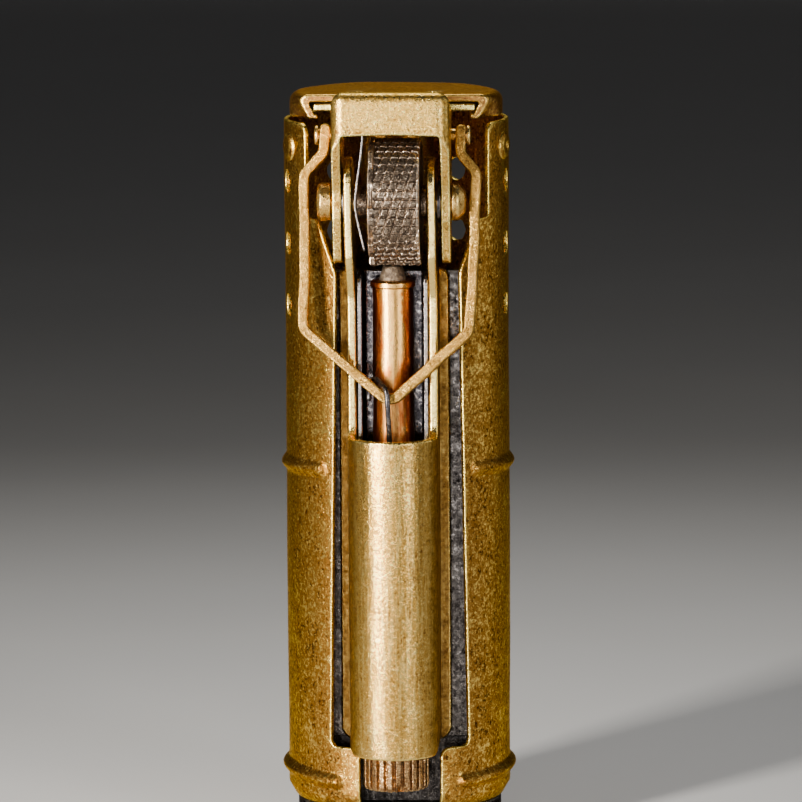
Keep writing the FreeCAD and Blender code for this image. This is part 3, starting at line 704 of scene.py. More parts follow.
def add_piece(name, mesh, slot, body, *replaced):
    """Makes an object from a (points, faces, normals, wear) mesh and hands it to the frame."""
    points, faces, normals, wear_and_shade = mesh
    data = bpy.data.meshes.new(name)
    data.from_pydata((points * MM).tolist(), [], faces)
    data.update()
    data.polygons.foreach_set("use_smooth", [True] * len(data.polygons))
    layer = data.attributes.new("wear_and_shade", "FLOAT", "POINT")
    layer.data.foreach_set("value", np.asarray(wear_and_shade, np.float32))
    data.normals_split_custom_set_from_vertices(normals.tolist())
    data.materials.append(MATERIALS[slot])
    piece = bpy.data.objects.new(name, data)
    bpy.context.scene.collection.objects.link(piece)
    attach(piece, body)
    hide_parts(*replaced)


# -------------------------------------------------------------------- pieces


def mirrored(right):
    """A closed outline from its right half, given from the bottom middle upwards."""
    return right + [(-x, y, radius) for x, y, radius in reversed(right)]


def grid_points(low, high, step_u, step_v):
    """Rows of points over a flat rectangle."""
    return [(u, v) for v in np.arange(low[1], high[1], step_v)
            for u in np.arange(low[0], high[0], step_u)]


def kept_points(points, outline, holes, margin):
    """The points inside an outline and outside its holes, away from every edge."""
    spots = np.array(points, float)
    keep = polygon_field(spots[:, 0], spots[:, 1], outline) < -margin
    for x, y, radius in holes:
        keep &= length_of(spots[:, 0] - x, spots[:, 1] - y) > radius + margin
    return [tuple(spot) for spot in spots[keep]]


# Height, half angle of the gap at the front, and rise of the case's two rolled beads.
BEADS = [(32.8, math.radians(43.4), 0.42), (6.2, math.radians(34.0), 0.52)]
BEAD_HALF = 0.78
FOOT_HALF, SLOT_FOOT_HALF, SLOT_HALF, LEDGE_HALF, WINDOW_HALF = 3.55, 6.0, 5.35, 6.9, 7.85
SLOT_FLOOR, SLOT_TOP, WINDOW_FLOOR = 8.9, 50.1, 54.6
VENT_ANGLES = {1: (75.7, 110.47, 145.24), -1: (75.7, 110.47, 145.24, 180.0)}
VENT_RADIUS, VENT_LOWEST, VENT_PITCH = 0.97, 46.7, 5.35
SEAM = {1: math.radians(162.6), -1: math.radians(197.4)}
CASE_TURN = math.radians(3.0)


def bead_height(u, v):
    """How far the beads stand out at a point of the unrolled sheet."""
    total = 0
    for height, gap, rise in BEADS:
        past_end = np.maximum(gap * CASE_R - np.abs(u), 0)
        sag = np.cos(np.clip(u / CASE_R, -math.pi / 2, math.pi / 2))
        level = height - sag * (0.45 if height < 10 else -0.3)
        away = np.clip(length_of(past_end * 1.15, v - level) / BEAD_HALF, 0, 1)
        total = total + rise * np.cos(away * math.pi / 2) ** 1.6
    return total


def case_place(u, v, w):
    """Wraps the case's flat sheet round the axis, with the front at -Y."""
    angle = u / CASE_R + CASE_TURN
    curl_height, curl_depth = 1.3, 0.7
    curl = np.clip((CASE_LOW + curl_height - v) / curl_height, 0, 1)
    dents = 0.03 * np.sin(u * 0.23 + 1.1) * np.sin(v * 0.17 + 0.4)
    dents = dents + 0.015 * np.sin(u * 0.61 + v * 0.13) * np.sin(v * 0.47 - u * 0.2)
    radius = CASE_R - CASE_WALL + w + bead_height(u, v) - curl_depth * curl ** 2 + dents
    return np.stack([radius * np.sin(angle), -radius * np.cos(angle), v], 1)


def on_case(across):
    """Unrolled distance from the front for a straight-line distance across the case."""
    return math.asin(across / CASE_R) * CASE_R


def case_half(side):
    """The case from the front opening round to its seam, on one side (0 across is the seam)."""
    back = SEAM[side] * CASE_R
    corners = [
        (FOOT_HALF, CASE_LOW, 0.3), (0, CASE_LOW, 0), (0, CASE_HIGH, 0),
        (WINDOW_HALF, CASE_HIGH, 0.9), (WINDOW_HALF, WINDOW_FLOOR, 0.5),
        (LEDGE_HALF, WINDOW_FLOOR, 0.5), (SLOT_HALF, SLOT_TOP, 1.5),
        (SLOT_FOOT_HALF, SLOT_FLOOR, 0.65), (FOOT_HALF, SLOT_FLOOR, 0.8),
    ]
    corners = [((on_case(across) if across else back) * side, height, radius)
               for across, height, radius in corners]
    outline = subdivided(filleted(corners), 0.45)
    vents = [(math.radians(angle) * CASE_R * side, VENT_LOWEST + VENT_PITCH * row, VENT_RADIUS)
             for angle in VENT_ANGLES[side] for row in range(3)]
    fill = grid_points((0, CASE_LOW), (back, CASE_HIGH), 0.75, 1.1)
    for height, gap, _ in BEADS:
        start = max(gap * CASE_R - 1.2, 0)
        fill = [(u, v) for u, v in fill if abs(v - height) > 1.4 or u < start - 0.4]
        across = np.concatenate([np.arange(start, start + 2.4, 0.12),
                                 np.arange(start + 2.4, back, 0.5)])
        fill += [(u, v) for u in across for v in np.arange(height - 1.2, height + 1.15, 0.12)]
    fill = kept_points([(u * side, v) for u, v in fill], outline, vents, 0.2)
    holes = [circle(*vent) for vent in vents]
    points, faces, normals, wear_and_shade = sheet_mesh(outline, holes, CASE_WALL, 0.13, case_place, fill)
    outward = points * (1, 1, 0)
    reach = length_of(points[:, 0], points[:, 1])
    angle = np.arctan2(points[:, 0], -points[:, 1]) - CASE_TURN
    closed = (np.abs(angle - SEAM[1]) < 0.03) & (points[:, 2] < CASE_HIGH - 0.2)
    wear_and_shade = np.where(closed, 0, wear_and_shade)
    outer = closed & (reach > CASE_R - CASE_WALL / 2)
    normals[outer] = unit(outward)[outer]
    return points, faces, normals, wear_and_shade


def outer_case(*_):
    return merged([case_half(1), case_half(-1)])


def stud(angle, dimple):
    """A domed stud on the case, at an angle from the front."""
    profile = eased([(0, -0.5, 0), (1.3, -0.5, 0.05), (1.3, 0.12, 0.3), (0.95, 0.42, 0.6),
                     (0.45 if dimple else 0.2, 0.45, 0.15), (0.12, 0.45 - dimple, 0.1),
                     (0, 0.45 - dimple, 0)])
    points, faces, normals, wear_and_shade = lathe(profile, (0, 0, 0), 40, "X")
    turn = np.array(Matrix.Rotation(angle - math.pi / 2, 3, "Z"))
    points = points + np.array([CASE_R - 0.12, 0, 60.5])
    return points @ turn.T, faces, normals @ turn.T, wear_and_shade


def case_studs(*_):
    side = math.radians(72.0)
    heads = [stud(CASE_TURN + side, 0.2), stud(CASE_TURN - side, 0.0)]
    return merged(heads)


HOUSING_MIDDLE = 3.49
HOUSING_WALL = 0.72
HOUSING_Y = -8.9
FRONT_ARC = HOUSING_MIDDLE * math.pi / 2
FLANGE_BEND = 0.5
FLANGE_BACK = -4.95
EARS_FROM = 42.0


def housing_path(distance, ahead):
    """Middle line of the channel's section, and its outward side, at a distance from the front.

    ahead is true where the side plates run straight on forwards past the round front.
    """
    round_angle = np.clip(distance / HOUSING_MIDDLE, 0, math.pi / 2)
    straight = distance - FRONT_ARC
    bend_start = (FLANGE_BACK - HOUSING_WALL / 2 - FLANGE_BEND) - HOUSING_Y
    past = np.clip((straight - bend_start) / FLANGE_BEND, 0, None)
    bend = np.minimum(past, math.pi / 2)
    across = HOUSING_MIDDLE * np.sin(round_angle)
    depth = HOUSING_Y - HOUSING_MIDDLE * np.cos(round_angle) + np.clip(straight, 0, bend_start)
    side_x, side_y = np.sin(round_angle), -np.cos(round_angle)
    across = np.where(ahead, HOUSING_MIDDLE, across)
    depth = np.where(ahead, HOUSING_Y + straight, depth)
    side_x, side_y = np.where(ahead, 1.0, side_x), np.where(ahead, 0.0, side_y)
    across = across + FLANGE_BEND * (1 - np.cos(bend)) + (past - bend) * FLANGE_BEND
    depth = depth + FLANGE_BEND * np.sin(bend)
    turned = bend > 0
    side_x = np.where(turned, np.cos(bend), side_x)
    side_y = np.where(turned, -np.sin(bend), side_y)
    return across, depth, side_x, side_y


def housing_place(u, v, w):
    """Wraps the flat sheet into the channel, whose ears lean a little to the left."""
    ahead = (v > EARS_FROM) & (np.abs(u) < FRONT_ARC)
    across, depth, side_x, side_y = housing_path(np.abs(u), ahead)
    dents = 0.02 * np.sin(u * 0.9 + 0.5) * np.sin(v * 0.31) + 0.012 * np.sin(v * 0.83 + u * 0.7)
    lift = w - HOUSING_WALL / 2 + dents * (v < 36)
    lean = np.where(u < 0, 0.22, 0.1) * smooth_step(v, 44.0, 60.0)
    x = np.sign(u + 1e-9) * (across + side_x * lift) - lean
    return np.stack([x, depth + side_y * lift, v], 1)


def flint_housing(*_):
    """A channel with a round closed front below and two ears above that carry the axle."""
    ear_front = FRONT_ARC - 1.7
    right = [
        (2.2, 8.5, 0), (4.2, 8.5, 1.2), (5.6, 9.1, 0.8), (9.6, 9.1, 0.9), (10.15, 9.9, 0.9),
        (10.15, 50.0, 0.8), (8.57, 50.4, 0.4),
        (8.57, 60.1, 2.35), (ear_front, 60.1, 2.35), (ear_front, 51.5, 1.6),
        (FRONT_ARC, 48.3, 1.8), (FRONT_ARC, 36.1, 1.0),
    ]
    outline = subdivided(filleted(mirrored(right), 8), 0.4)
    fill = kept_points(grid_points((-10.2, 8.6), (10.2, 60.0), 0.32, 0.9), outline, [], 0.2)
    mesh = sheet_mesh(outline, [], HOUSING_WALL, 0.22, housing_place, fill, 4)
    points, faces, normals, wear_and_shade = mesh
    # Painted shade: the sides of the channel's round front and its flanges are darkened, away from
    # the rubbed edges, and this is stored as values below 0 in the attribute.
    grime_and_shade = smooth_step(np.abs(points[:, 0]), 2.4, 3.6)
    wear_and_shade = np.where((wear_and_shade < 0.5) & (points[:, 1] > HOUSING_Y - 2.8), -grime_and_shade, wear_and_shade)
    return points, faces, normals, wear_and_shade


def flat_place(origin, across, up, out):
    """Places a flat sheet on a plane given by its origin and three directions."""
    axes = [np.array(axis, float) for axis in (across, up, out)]

    def place(u, v, w):
        return np.array(origin) + sum(part[:, None] * axis for part, axis in zip((u, v, w), axes))

    return place


def partition_plate(low, high):
    corners = [(low[0], low[2], 0.6), (high[0], low[2], 0.6), (high[0], high[2], 1.2),
               (low[0], high[2], 1.2)]
    place = flat_place((0, high[1], 0), (1, 0, 0), (0, 0, 1), (0, -1, 0))
    outline = subdivided(filleted(corners), 1.5)
    return sheet_mesh(outline, [], high[1] - low[1], 0.12, place)


def steel_liner(low, high):
    """The dark channel that lines the back of the flint tube's gap."""
    wall, bend = 0.4, 0.55
    half = high[0] - wall / 2
    run = half - bend
    quarter = bend * math.pi / 2
    depth = high[1] - low[1] - wall / 2 - bend

    def place(u, v, w):
        far = np.abs(u)
        turn = np.clip((far - run) / bend, 0, math.pi / 2)
        arm = np.clip(far - run - quarter, 0, None)
        across = np.minimum(far, run) + bend * np.sin(turn)
        back = high[1] - wall / 2 - bend * (1 - np.cos(turn)) - arm
        lift = w - wall / 2
        return np.stack([np.sign(u + 1e-9) * (across - np.sin(turn) * lift),
                         back - np.cos(turn) * lift, v], 1)

    reach = run + quarter + depth
    corners = [(-reach, low[2], 0.3), (reach, low[2], 0.3), (reach, high[2], 0.8),
               (-reach, high[2], 0.8)]
    outline = subdivided(filleted(corners), 1.0)
    fill = kept_points(grid_points((-reach, low[2]), (reach, high[2]), 0.2, 4.0), outline, [], 0.08)
    return sheet_mesh(outline, [], wall, 0.1, place, fill)


def flint_tube(low, high):
    profile = eased([(1.25, 46.0, 0), (1.25, high[2], 0.12), (1.62, high[2], 0.1),
                     (1.95, high[2] - 0.16, 0.08), (1.95, high[2] - 0.6, 0.08),
                     (1.75, high[2] - 0.66, 0.05), (1.75, low[2], 0.1), (1.25, low[2], 0.1),
                     (1.25, 46.0, 0)])[::-1]
    rows = subdivided_section(profile, 1.5)

    def ripple(angle, radius, height):
        swell = 0.02 * np.sin(height * 0.9 + angle * 2) + 0.012 * np.sin(height * 2.3 - angle * 3)
        return np.where(height > high[2] - 0.7, 0, swell)

    return lathe(rows, (0, TUBE_Y, 0), 56, ripple=ripple)


def flint(low, high):
    profile = eased([(0, low[2], 0), (1.15, low[2], 0.1), (1.15, 49.6, 0.2),
                     (0.8, high[2], 0.15), (0, high[2] - 0.06, 0)])

    def ripple(angle, radius, height):
        return 0.03 * np.sin(angle * 5 + height * 9) * np.sin(height * 14)

    return lathe(subdivided_section(profile, 0.25), (0, TUBE_Y, 0), 40, ripple=ripple)


def flint_plunger(low, high):
    profile = eased([(0, low[2], 0), (0.7, low[2], 0.1), (0.7, low[2] + 0.8, 0),
                     (1.15, low[2] + 0.85, 0.08), (1.15, high[2], 0.15), (0, high[2], 0)])
    return lathe(profile, (0, TUBE_Y, 0), 36)


def flint_spring(low, high):
    line = coil_line(0.98, low[2] + 0.17, high[2] - 0.17, 34, 18) + np.array([0, TUBE_Y, 0])
    return wire(line, 0.16, 8)


def main_spring(low, high):
    gauge = 0.2
    line = coil_line(1.98, low[2] + gauge, high[2] - gauge, 25, 28) + np.array([0, TUBE_Y, 0])
    return wire(line, gauge, 10)


def spring_seat(low, high):
    profile = eased([(1.75, low[2] + 0.2, 0), (1.75, high[2], 0.06), (2.2, high[2], 0.12),
                     (2.2, low[2] + 0.5, 0.1), (2.05, low[2], 0.1), (1.75, low[2], 0.06),
                     (1.75, low[2] + 0.2, 0)])[::-1]
    return lathe(profile, (0, TUBE_Y, 0), 48)


SCREW_FLUTES = 24
FLUTE_DEPTH, SCREW_NOTCH_DEPTH, NOTCH_ANGLE = 0.34, 0.6, 4.95


def flint_screw(low, high):
    """Knurled thumb screw: wide flat flutes, a plain collar and one small notch."""
    top, radius_out = 9.05, 2.9
    profile = eased([(0, low[2] + 0.25, 0), (2.0, low[2] + 0.25, 0.1), (2.3, low[2], 0.12),
                     (2.75, low[2], 0.15), (radius_out, low[2] + 0.3, 0.12),
                     (radius_out, top - 0.35, 0.15), (2.6, top, 0.12), (1.2, top, 0.05),
                     (1.2, high[2], 0.15), (0, high[2], 0)])

    def ripple(angle, radius, height):
        phase = (angle * SCREW_FLUTES / (2 * math.pi)) % 1
        flute = np.clip((np.abs(phase - 0.5) - 0.29) / 0.1, 0, 1)
        rim = np.clip((radius - 2.35) / 0.3, 0, 1)
        notch = np.clip(1 - np.abs((angle - NOTCH_ANGLE) * radius_out) / 0.42, 0, 1) ** 0.4
        notch = notch * np.clip((low[2] + 0.75 - height) / 0.25, 0, 1)
        return -rim * np.maximum(FLUTE_DEPTH * flute, SCREW_NOTCH_DEPTH * notch)

    return lathe(subdivided_section(profile, 0.35), (0, TUBE_Y, 0), SCREW_FLUTES * 16,
                 ripple=ripple)


def turned_pin(profile, at, count=48):
    """A pin turned about the X direction."""
    return lathe(eased(profile), at, count, "X")


def wheel_axle(low, high):
    """The axle: a bevelled head on the left and a domed, dimpled one on the right."""
    left, right = low[0], high[0]
    profile = [(0, left + 0.08, 0), (1.1, left, 0.1), (1.38, left, 0.1), (1.65, left + 0.28, 0.1),
               (1.65, -5.2, 0.1), (1.0, -5.2, 0.05), (1.0, 5.2, 0.05), (1.65, 5.2, 0.1),
               (1.65, right - 0.65, 0.35), (1.05, right - 0.08, 0.4), (0.42, right, 0.15),
               (0.3, right - 0.16, 0.1), (0, right - 0.18, 0)]
    return turned_pin(profile, (0, AXLE_Y, AXLE_Z))


def axle_washers(*_):
    rings = []
    for side in (-1, 1):
        inner, outer = sorted((3.9 * side, 4.18 * side))
        profile = [(1.02, (inner + outer) / 2, 0), (1.02, inner, 0.04), (1.8, inner, 0.06),
                   (1.8, outer, 0.06), (1.02, outer, 0.04), (1.02, (inner + outer) / 2, 0)]
        rings.append(turned_pin(profile, (0, AXLE_Y, AXLE_Z), 40))
    return merged(rings)


WHEEL_RADIUS = 5.5
KNURL_ROWS = 44
KNURL_COLUMN = 0.73
KNURL_TURNS = 14
KNURL_DEPTH = 0.3
NOTCHES = 10
NOTCH_DEPTH = 0.75


def groove(phase, half_width):
    """A sharp V at whole numbers of the phase, from 0 outside it to 1 at its bottom."""
    away = np.abs((phase + 0.5) % 1 - 0.5)
    return np.clip(1 - away / half_width, 0, 1)


def flint_wheel(low, high):
    """Steel wheel with level and slanted knurl lines, and ratchet notches on its left rim."""
    left, right = -2.0, 2.5
    outer_left, outer_right = low[0], high[0]
    rim = left + 0.62
    profile = eased([(1.04, 0, 0), (1.04, outer_left, 0.06), (1.4, outer_left, 0.1),
                     (1.4, left - 0.05, 0.1), (2.6, left, 0.1), (2.7, left + 0.12, 0.05),
                     (5.35, left + 0.12, 0.06), (WHEEL_RADIUS, left + 0.2, 0.05)], 3)
    profile += [(WHEEL_RADIUS, x) for x in np.linspace(left + 0.26, right - 0.2, 66)]
    profile += eased([(WHEEL_RADIUS, right - 0.18, 0), (WHEEL_RADIUS - 0.1, right, 0.08),
                      (2.8, right - 0.05, 0.1), (1.4, right, 0.1), (1.4, outer_right, 0.1),
                      (1.04, outer_right, 0.06), (1.04, 0, 0)], 3)

    def ripple(angle, radius, height):
        outer = radius > WHEEL_RADIUS - 0.25
        turn = angle / (2 * math.pi)
        rows = turn * KNURL_ROWS
        columns = (height - rim) / KNURL_COLUMN + turn * KNURL_TURNS
        tilt = 0.3 * (columns % 1) + 0.22 * (rows % 1)
        cut = np.maximum(np.maximum(groove(rows, 0.17), groove(columns, 0.19)), tilt)
        knurl = KNURL_DEPTH * cut * np.clip((height - rim) / 0.1, 0, 1)
        saw = (-turn * NOTCHES) % 1
        tooth = np.clip(1 - saw / 0.62, 0, 1) * np.clip(saw / 0.05, 0, 1)
        notch = NOTCH_DEPTH * tooth * np.clip((rim - height) / 0.12, 0, 1)
        face = np.clip((radius - (WHEEL_RADIUS - NOTCH_DEPTH - 0.1)) / 0.4, 0, 1)
        notch = np.where((radius > WHEEL_RADIUS - 1.6) & (height < rim), notch * face, 0)
        return -np.where(outer, np.maximum(knurl, notch), notch)

    return lathe(profile, (0, AXLE_Y, AXLE_Z), KNURL_ROWS * 18, "X", ripple)


LEVER_SHEET = 0.8


def thumb_lever(low, high):
    """One bent sheet: a bar across the front, two legs to the axle and a tongue on the lid."""
    half, front, top = high[0], low[1], high[2]
    tongue_top, tongue_end = 64.25, high[1]
    side_view = filleted([
        (front, top, 1.3), (front, 62.2, 0.5), (-10.25, 57.2, 2.0), (-10.2, 55.0, 2.0),
        (-9.3, low[2], 0.85), (-7.5, low[2], 0.85), (-6.6, 55.0, 1.5), (-6.5, 57.5, 1.5),
        (-5.4, 60.4, 0.7), (-5.4, tongue_top - LEVER_SHEET, 0.1),
        (tongue_end, tongue_top - LEVER_SHEET, 0.1), (tongue_end, tongue_top, 0.1),
        (-5.2, tongue_top, 0.9), (front + 1.6, top, 1.2),
    ], 8)
    inside_view = filleted([
        (front + LEVER_SHEET, top - LEVER_SHEET, 0.5), (front + LEVER_SHEET, 45.0, 0),
        (0, 45.0, 0), (0, tongue_top - LEVER_SHEET, 0), (-5.4, tongue_top - LEVER_SHEET, 0.5),
        (front + 1.4, top - LEVER_SHEET, 0.6),
    ], 8)

    def field(x, y, z):
        away = np.abs(x)
        bend = 0.14 + 0.95 * smooth_step(z, 60.6, 62.4)
        shape = both(away - half, polygon_field(y, z, side_view), bend)
        inner = np.maximum(bend - LEVER_SHEET, 0.12)
        hollow = both(away - (half - LEVER_SHEET), polygon_field(y, z, inside_view), inner)
        arch = 62.2 + 0.14 * np.cos(x * 0.35) - 0.1
        below = both(away - (half - LEVER_SHEET - 0.02), z - arch, 0.35)
        shape = without(shape, hollow, 0.08)
        shape = without(shape, both(below, y + 5.0), 0.16)
        return without(shape, length_of(y - AXLE_Y, z - AXLE_Z) - 1.04, 0.08)

    return field_mesh(field, low, high, 0.115)


def bail_pins(low, high):
    pins = []
    y, z = (low + high)[1:] / 2
    for side in (-1, 1):
        profile = [(0, 4.28, 0), (0.55, 4.28, 0.08), (0.55, 6.35, 0.03), (0.85, 6.38, 0.05),
                   (0.82, 6.62, 0.12), (0.3, 6.72, 0.1), (0, 6.72, 0)]
        if side < 0:
            profile = [(r, -x, e) for r, x, e in profile[::-1]]
        pins.append(turned_pin(profile, (0, y, z), 32))
    return merged(pins)


LID_SHEET = 0.65
LID_FRONT = -4.1


def lid_cap(low, high):
    """A round cap with its front cut off and the ends of its skirt folded inwards."""
    radius, top, bottom = high[0], high[2], low[2]
    under = top - LID_SHEET

    def field(x, y, z):
        fold = smooth_step(-y, 1.9, 4.1) * np.clip((top - z) / (top - bottom), 0, 1) ** 1.3
        dent = 0.04 * np.sin(x * 0.55 + 1) * np.sin(y * 0.6)
        reach = length_of(x, y) + 0.85 * fold * smooth_step(np.abs(x), 5.5, 7.0)
        outer = both(reach - radius, z - top - dent, 0.85)
        outer = both(outer, bottom - z, 0.25)
        hollow = both(reach - radius + LID_SHEET, z - under - dent, 0.3)
        lip = both(reach - radius + 0.95, z - bottom - 0.5, 0.02)
        cap = without(without(outer, both(hollow, bottom + 0.45 - z), 0.15), lip, 0.15)
        return both(cap, LID_FRONT - y, 0.17)

    return field_mesh(field, low, high, 0.115)


def cut_disc(radius, front, corner):
    """A round outline with its front cut off straight."""
    start = math.asin(front / radius)
    angles = np.linspace(start, math.pi - start, 90)
    outline = [(radius * math.cos(a), radius * math.sin(a), 0) for a in angles]
    outline[0] = (*outline[0][:2], corner)
    outline[-1] = (*outline[-1][:2], corner)
    return filleted(outline)


def lid_liner(low, high):
    outline = subdivided(cut_disc(high[0], low[1] + 0.25, 0.5), 0.5)
    place = flat_place((0, 0, low[2]), (1, 0, 0), (0, 1, 0), (0, 0, 1))
    return sheet_mesh(outline, [], LID_SHEET, 0.18, place)


def lid_rivets(low, high):
    y = (low[1] + high[1]) / 2
    rivets = []
    for x in (-3.4, 3.4):
        profile = eased([(0, low[2], 0), (0.7, low[2], 0.1), (0.7, high[2] - 0.1, 0.02),
                         (0.75, high[2] + 0.02, 0.03), (0.5, high[2] + 0.05, 0.1),
                         (0, high[2] + 0.05, 0)])
        rivets.append(lathe(profile, (x, y, 0), 36))
    return merged(rivets)


def snuffer_cup(low, high):
    radius, inner = 3.2, 2.8
    profile = eased([(0, high[2], 0), (radius - 0.02, high[2], 0.6), (radius, low[2] + 0.35, 0.1),
                     (radius + 0.06, low[2], 0.16), (inner, low[2], 0.16),
                     (inner, high[2] - 0.4, 0.5), (0, high[2] - 0.4, 0)])[::-1]

    def ripple(angle, radius, height):
        return 0.03 * np.sin(angle * 3 + height * 0.7)

    rows = subdivided_section(profile, 0.7)
    return lathe(rows, (0, WICK_Y, 0), 72, ripple=ripple)


def snuffer_pad(low, high):
    reach = (high[0] - low[0]) / 2
    profile = subdivided_section(eased([(0, low[2] + 0.1, 0), (reach, low[2] + 0.05, 0.3),
                                        (reach, high[2], 0.2), (0, high[2], 0)]), 0.18)
    points, faces, normals, _ = lathe(profile, (0, WICK_Y, 0), 64)
    fuzz = ripple_noise(points, 0.35, 3) * 0.05 + ripple_noise(points, 0.9, 4) * 0.05
    points = points - np.abs(fuzz)[:, None] * normals
    scorch = np.clip(1.2 - length_of(points[:, 0], points[:, 1] - WICK_Y) / 1.5, 0, 1)
    return points, faces, area_normals(points, faces), scorch


def pawl_spring(low, high):
    """The thin leaf that pushes the wheel's notches round."""
    line = smooth_line([(-2.35, 64.6), (-2.4, 61.5), (-2.95, 57.2), (-2.95, 55.6),
                        (-2.2, 52.2)][::-1], 60)
    length = np.concatenate([[0], np.cumsum(np.linalg.norm(np.diff(line, axis=0), axis=1))])
    run = unit(np.gradient(line, axis=0))
    gauge = 0.2

    def place(u, v, w):
        spot = [np.interp(v, length, line[:, axis]) for axis in range(2)]
        heading = [np.interp(v, length, run[:, axis]) for axis in range(2)]
        lift = w - gauge / 2
        return np.stack([spot[0] + heading[1] * lift, low[1] + u, spot[1] - heading[0] * lift], 1)

    width, end = high[1] - low[1], length[-1] - 0.05
    corners = [(0, 0.05, 0.3), (width, 0.05, 0.3), (width, end, 0.1), (0, end, 0.1)]
    outline = subdivided(filleted(corners), 0.3)
    fill = kept_points(grid_points((0, 0), (width, length[-1]), 0.4, 0.3), outline, [], 0.1)
    return sheet_mesh(outline, [], gauge, 0.08, place, fill)


def ribbon_outline(line, width, bend):
    """Both sides of a bent strip, from its middle line, with its corners rounded."""
    spots = [Vector(spot) for spot in line]
    left, right = [], []
    for index, spot in enumerate(spots):
        before, after = spots[max(index - 1, 0)], spots[min(index + 1, len(spots) - 1)]
        runs = [run.normalized() for run in (spot - before, after - spot) if run.length > 0]
        sides = [Vector((-run.y, run.x)) for run in runs]
        mean = sum(sides, Vector((0, 0))).normalized()
        reach = mean * (width / 2 / mean.dot(sides[0]))
        end = index in (0, len(spots) - 1)
        turn = runs[0].cross(runs[-1]) if not end else 0
        for edge, sign in ((left, 1), (right, -1)):
            outside = sign if turn < 0 else -sign
            size = width * 0.42 if end else max(bend + outside * width / 2, 0.15)
            edge.append((*(spot + reach * sign), size))
    return filleted(left + right[::-1], 8)


def bail(*_):
    """The bent strip that hangs from the lever's pins and hooks over the main spring."""
    pin = np.array([0, -6.6, 61.75])
    foot = np.array([0, -10.8, 39.2])
    up = (pin - foot) / np.linalg.norm(pin - foot)
    length = np.linalg.norm(pin - foot)
    out = np.cross([1, 0, 0], up)
    depth, width = 1.4, 0.9
    line = [(-5.82, 0.95), (-5.82, -1.5), (-7.5, -3.3), (-7.55, -16.6), (-0.2, -length),
            (6.65, -16.8), (7.2, -3.2), (5.82, -1.6), (5.82, 0.85)]
    outline = subdivided(ribbon_outline(line, width, 1.1), 0.5)
    straight = flat_place(pin + out * (-depth / 2), (1, 0, 0), up, out)

    def place(u, v, w):
        sway = 0.05 * np.sin(v * 0.5 + 0.6) + 0.03 * np.sin(v * 1.3 + u)
        return straight(u + sway, v, w + 0.04 * np.sin(v * 0.7 + u * 0.4))

    return sheet_mesh(outline, [], depth, 0.2, place, steps=4)


def spring_hook(*_):
    """The wire from the main spring that goes over the bail's foot."""
    route = smooth_line([
        (-2.0, -9.35, 39.4), (-1.95, -9.4, 40.7), (-1.45, -10.0, 41.2), (-0.85, -11.0, 40.85),
        (-0.42, -11.75, 40.3), (-0.3, -11.92, 38.9), (-0.22, -11.2, 36.3), (-0.2, -10.4, 33.9),
    ], 120)
    return wire(route, 0.23, 14)


def d_outline(radius, flat, corner):
    """The tank's round outline with a flat front."""
    return subdivided(cut_disc(radius, flat, corner), 0.6)


def tank_shell(low, high):
    """The D-shaped fuel tank's wall, as a tall sheet bent round into a closed loop."""
    outer = np.array(d_outline(high[0], low[1], 1.2))
    wall = 0.4
    heights = [low[2], low[2] + 0.05, low[2] + 0.6]
    heights += list(np.arange(low[2] + 2, high[2] - 1, 2.0))
    heights += [high[2] - 0.4, high[2] - 0.1, high[2]]
    side, grow = outline_sides([tuple(spot) for spot in outer])
    rings = []
    for height in heights:
        inset = 0.12 * max(0, 1 - (high[2] - height) / 0.35) ** 2
        rings.append(np.column_stack([outer - side * inset, np.full(len(outer), height)]))
    for height in (high[2], high[2] - 0.3, low[2]):
        rings.append(np.column_stack([outer - side * grow[:, None] * wall,
                                      np.full(len(outer), height)]))
    rings.append(rings[0].copy())
    points = np.vstack(rings)
    wear_and_shade = np.where(np.abs(points[:, 2] - high[2]) < 0.15, 0.8, 0.0)
    return ring_mesh(points, len(outer), wear_and_shade)


def tank_top(low, high):
    hole = circle(0, WICK_Y, 2.01, 48)
    place = flat_place((0, 0, low[2]), (1, 0, 0), (0, 1, 0), (0, 0, 1))
    return sheet_mesh(d_outline(high[0], low[1], 0.8), [hole], high[2] - low[2], 0.1, place)


def tank_base(_, high):
    reach = high[0]
    profile = eased([(2.3, 1.6, 0), (4.2, 1.6, 0.1), (4.2, 0.0, 0.2), (7.2, 0.0, 0.15),
                     (7.35, 0.12, 0.1), (7.6, 0.12, 0.1), (7.75, 0, 0.15), (reach - 0.45, 0.0, 0.2),
                     (reach, 0.45, 0.2), (reach, high[2], 0.25), (2.3, high[2], 0.1),
                     (2.3, 1.6, 0)])
    rows = subdivided_section(profile, 1.0)
    return lathe(rows, (0, 0, 0), 120)


def filler_screw(low, high):
    """A slotted screw with a finely milled edge."""
    slot_half, slot_depth = 0.4, 0.5

    def field(x, y, z):
        radial = length_of(x, y)
        around = np.arctan2(y, x)
        milled = 3.78 - 0.06 * np.clip(np.abs(np.sin(around * 40)) - 0.3, 0, 1)
        head = both(both(radial - milled, z - low[2] - 0.9, 0.15), low[2] - z, 0.22)
        thread = 2.22 - 0.14 * np.abs(((z - around * 0.1 / math.pi) / 0.5) % 1 - 0.5) * 2
        shank = both(both(radial - thread, z - high[2], 0.25), low[2] + 0.2 - z)
        slot = both(np.abs(y) - slot_half, z - low[2] - slot_depth, 0.05)
        return without(either(head, shank, 0.1), slot, 0.1)

    return field_mesh(field, low, high, 0.09)


def filler_gasket(low, high):
    profile = eased([(2.35, low[2] + 0.15, 0), (2.35, low[2], 0.1), (3.7, low[2], 0.14),
                     (3.7, high[2], 0.14), (2.35, high[2], 0.1), (2.35, low[2] + 0.15, 0)])
    return lathe(profile, (0, 0, 0), 64)


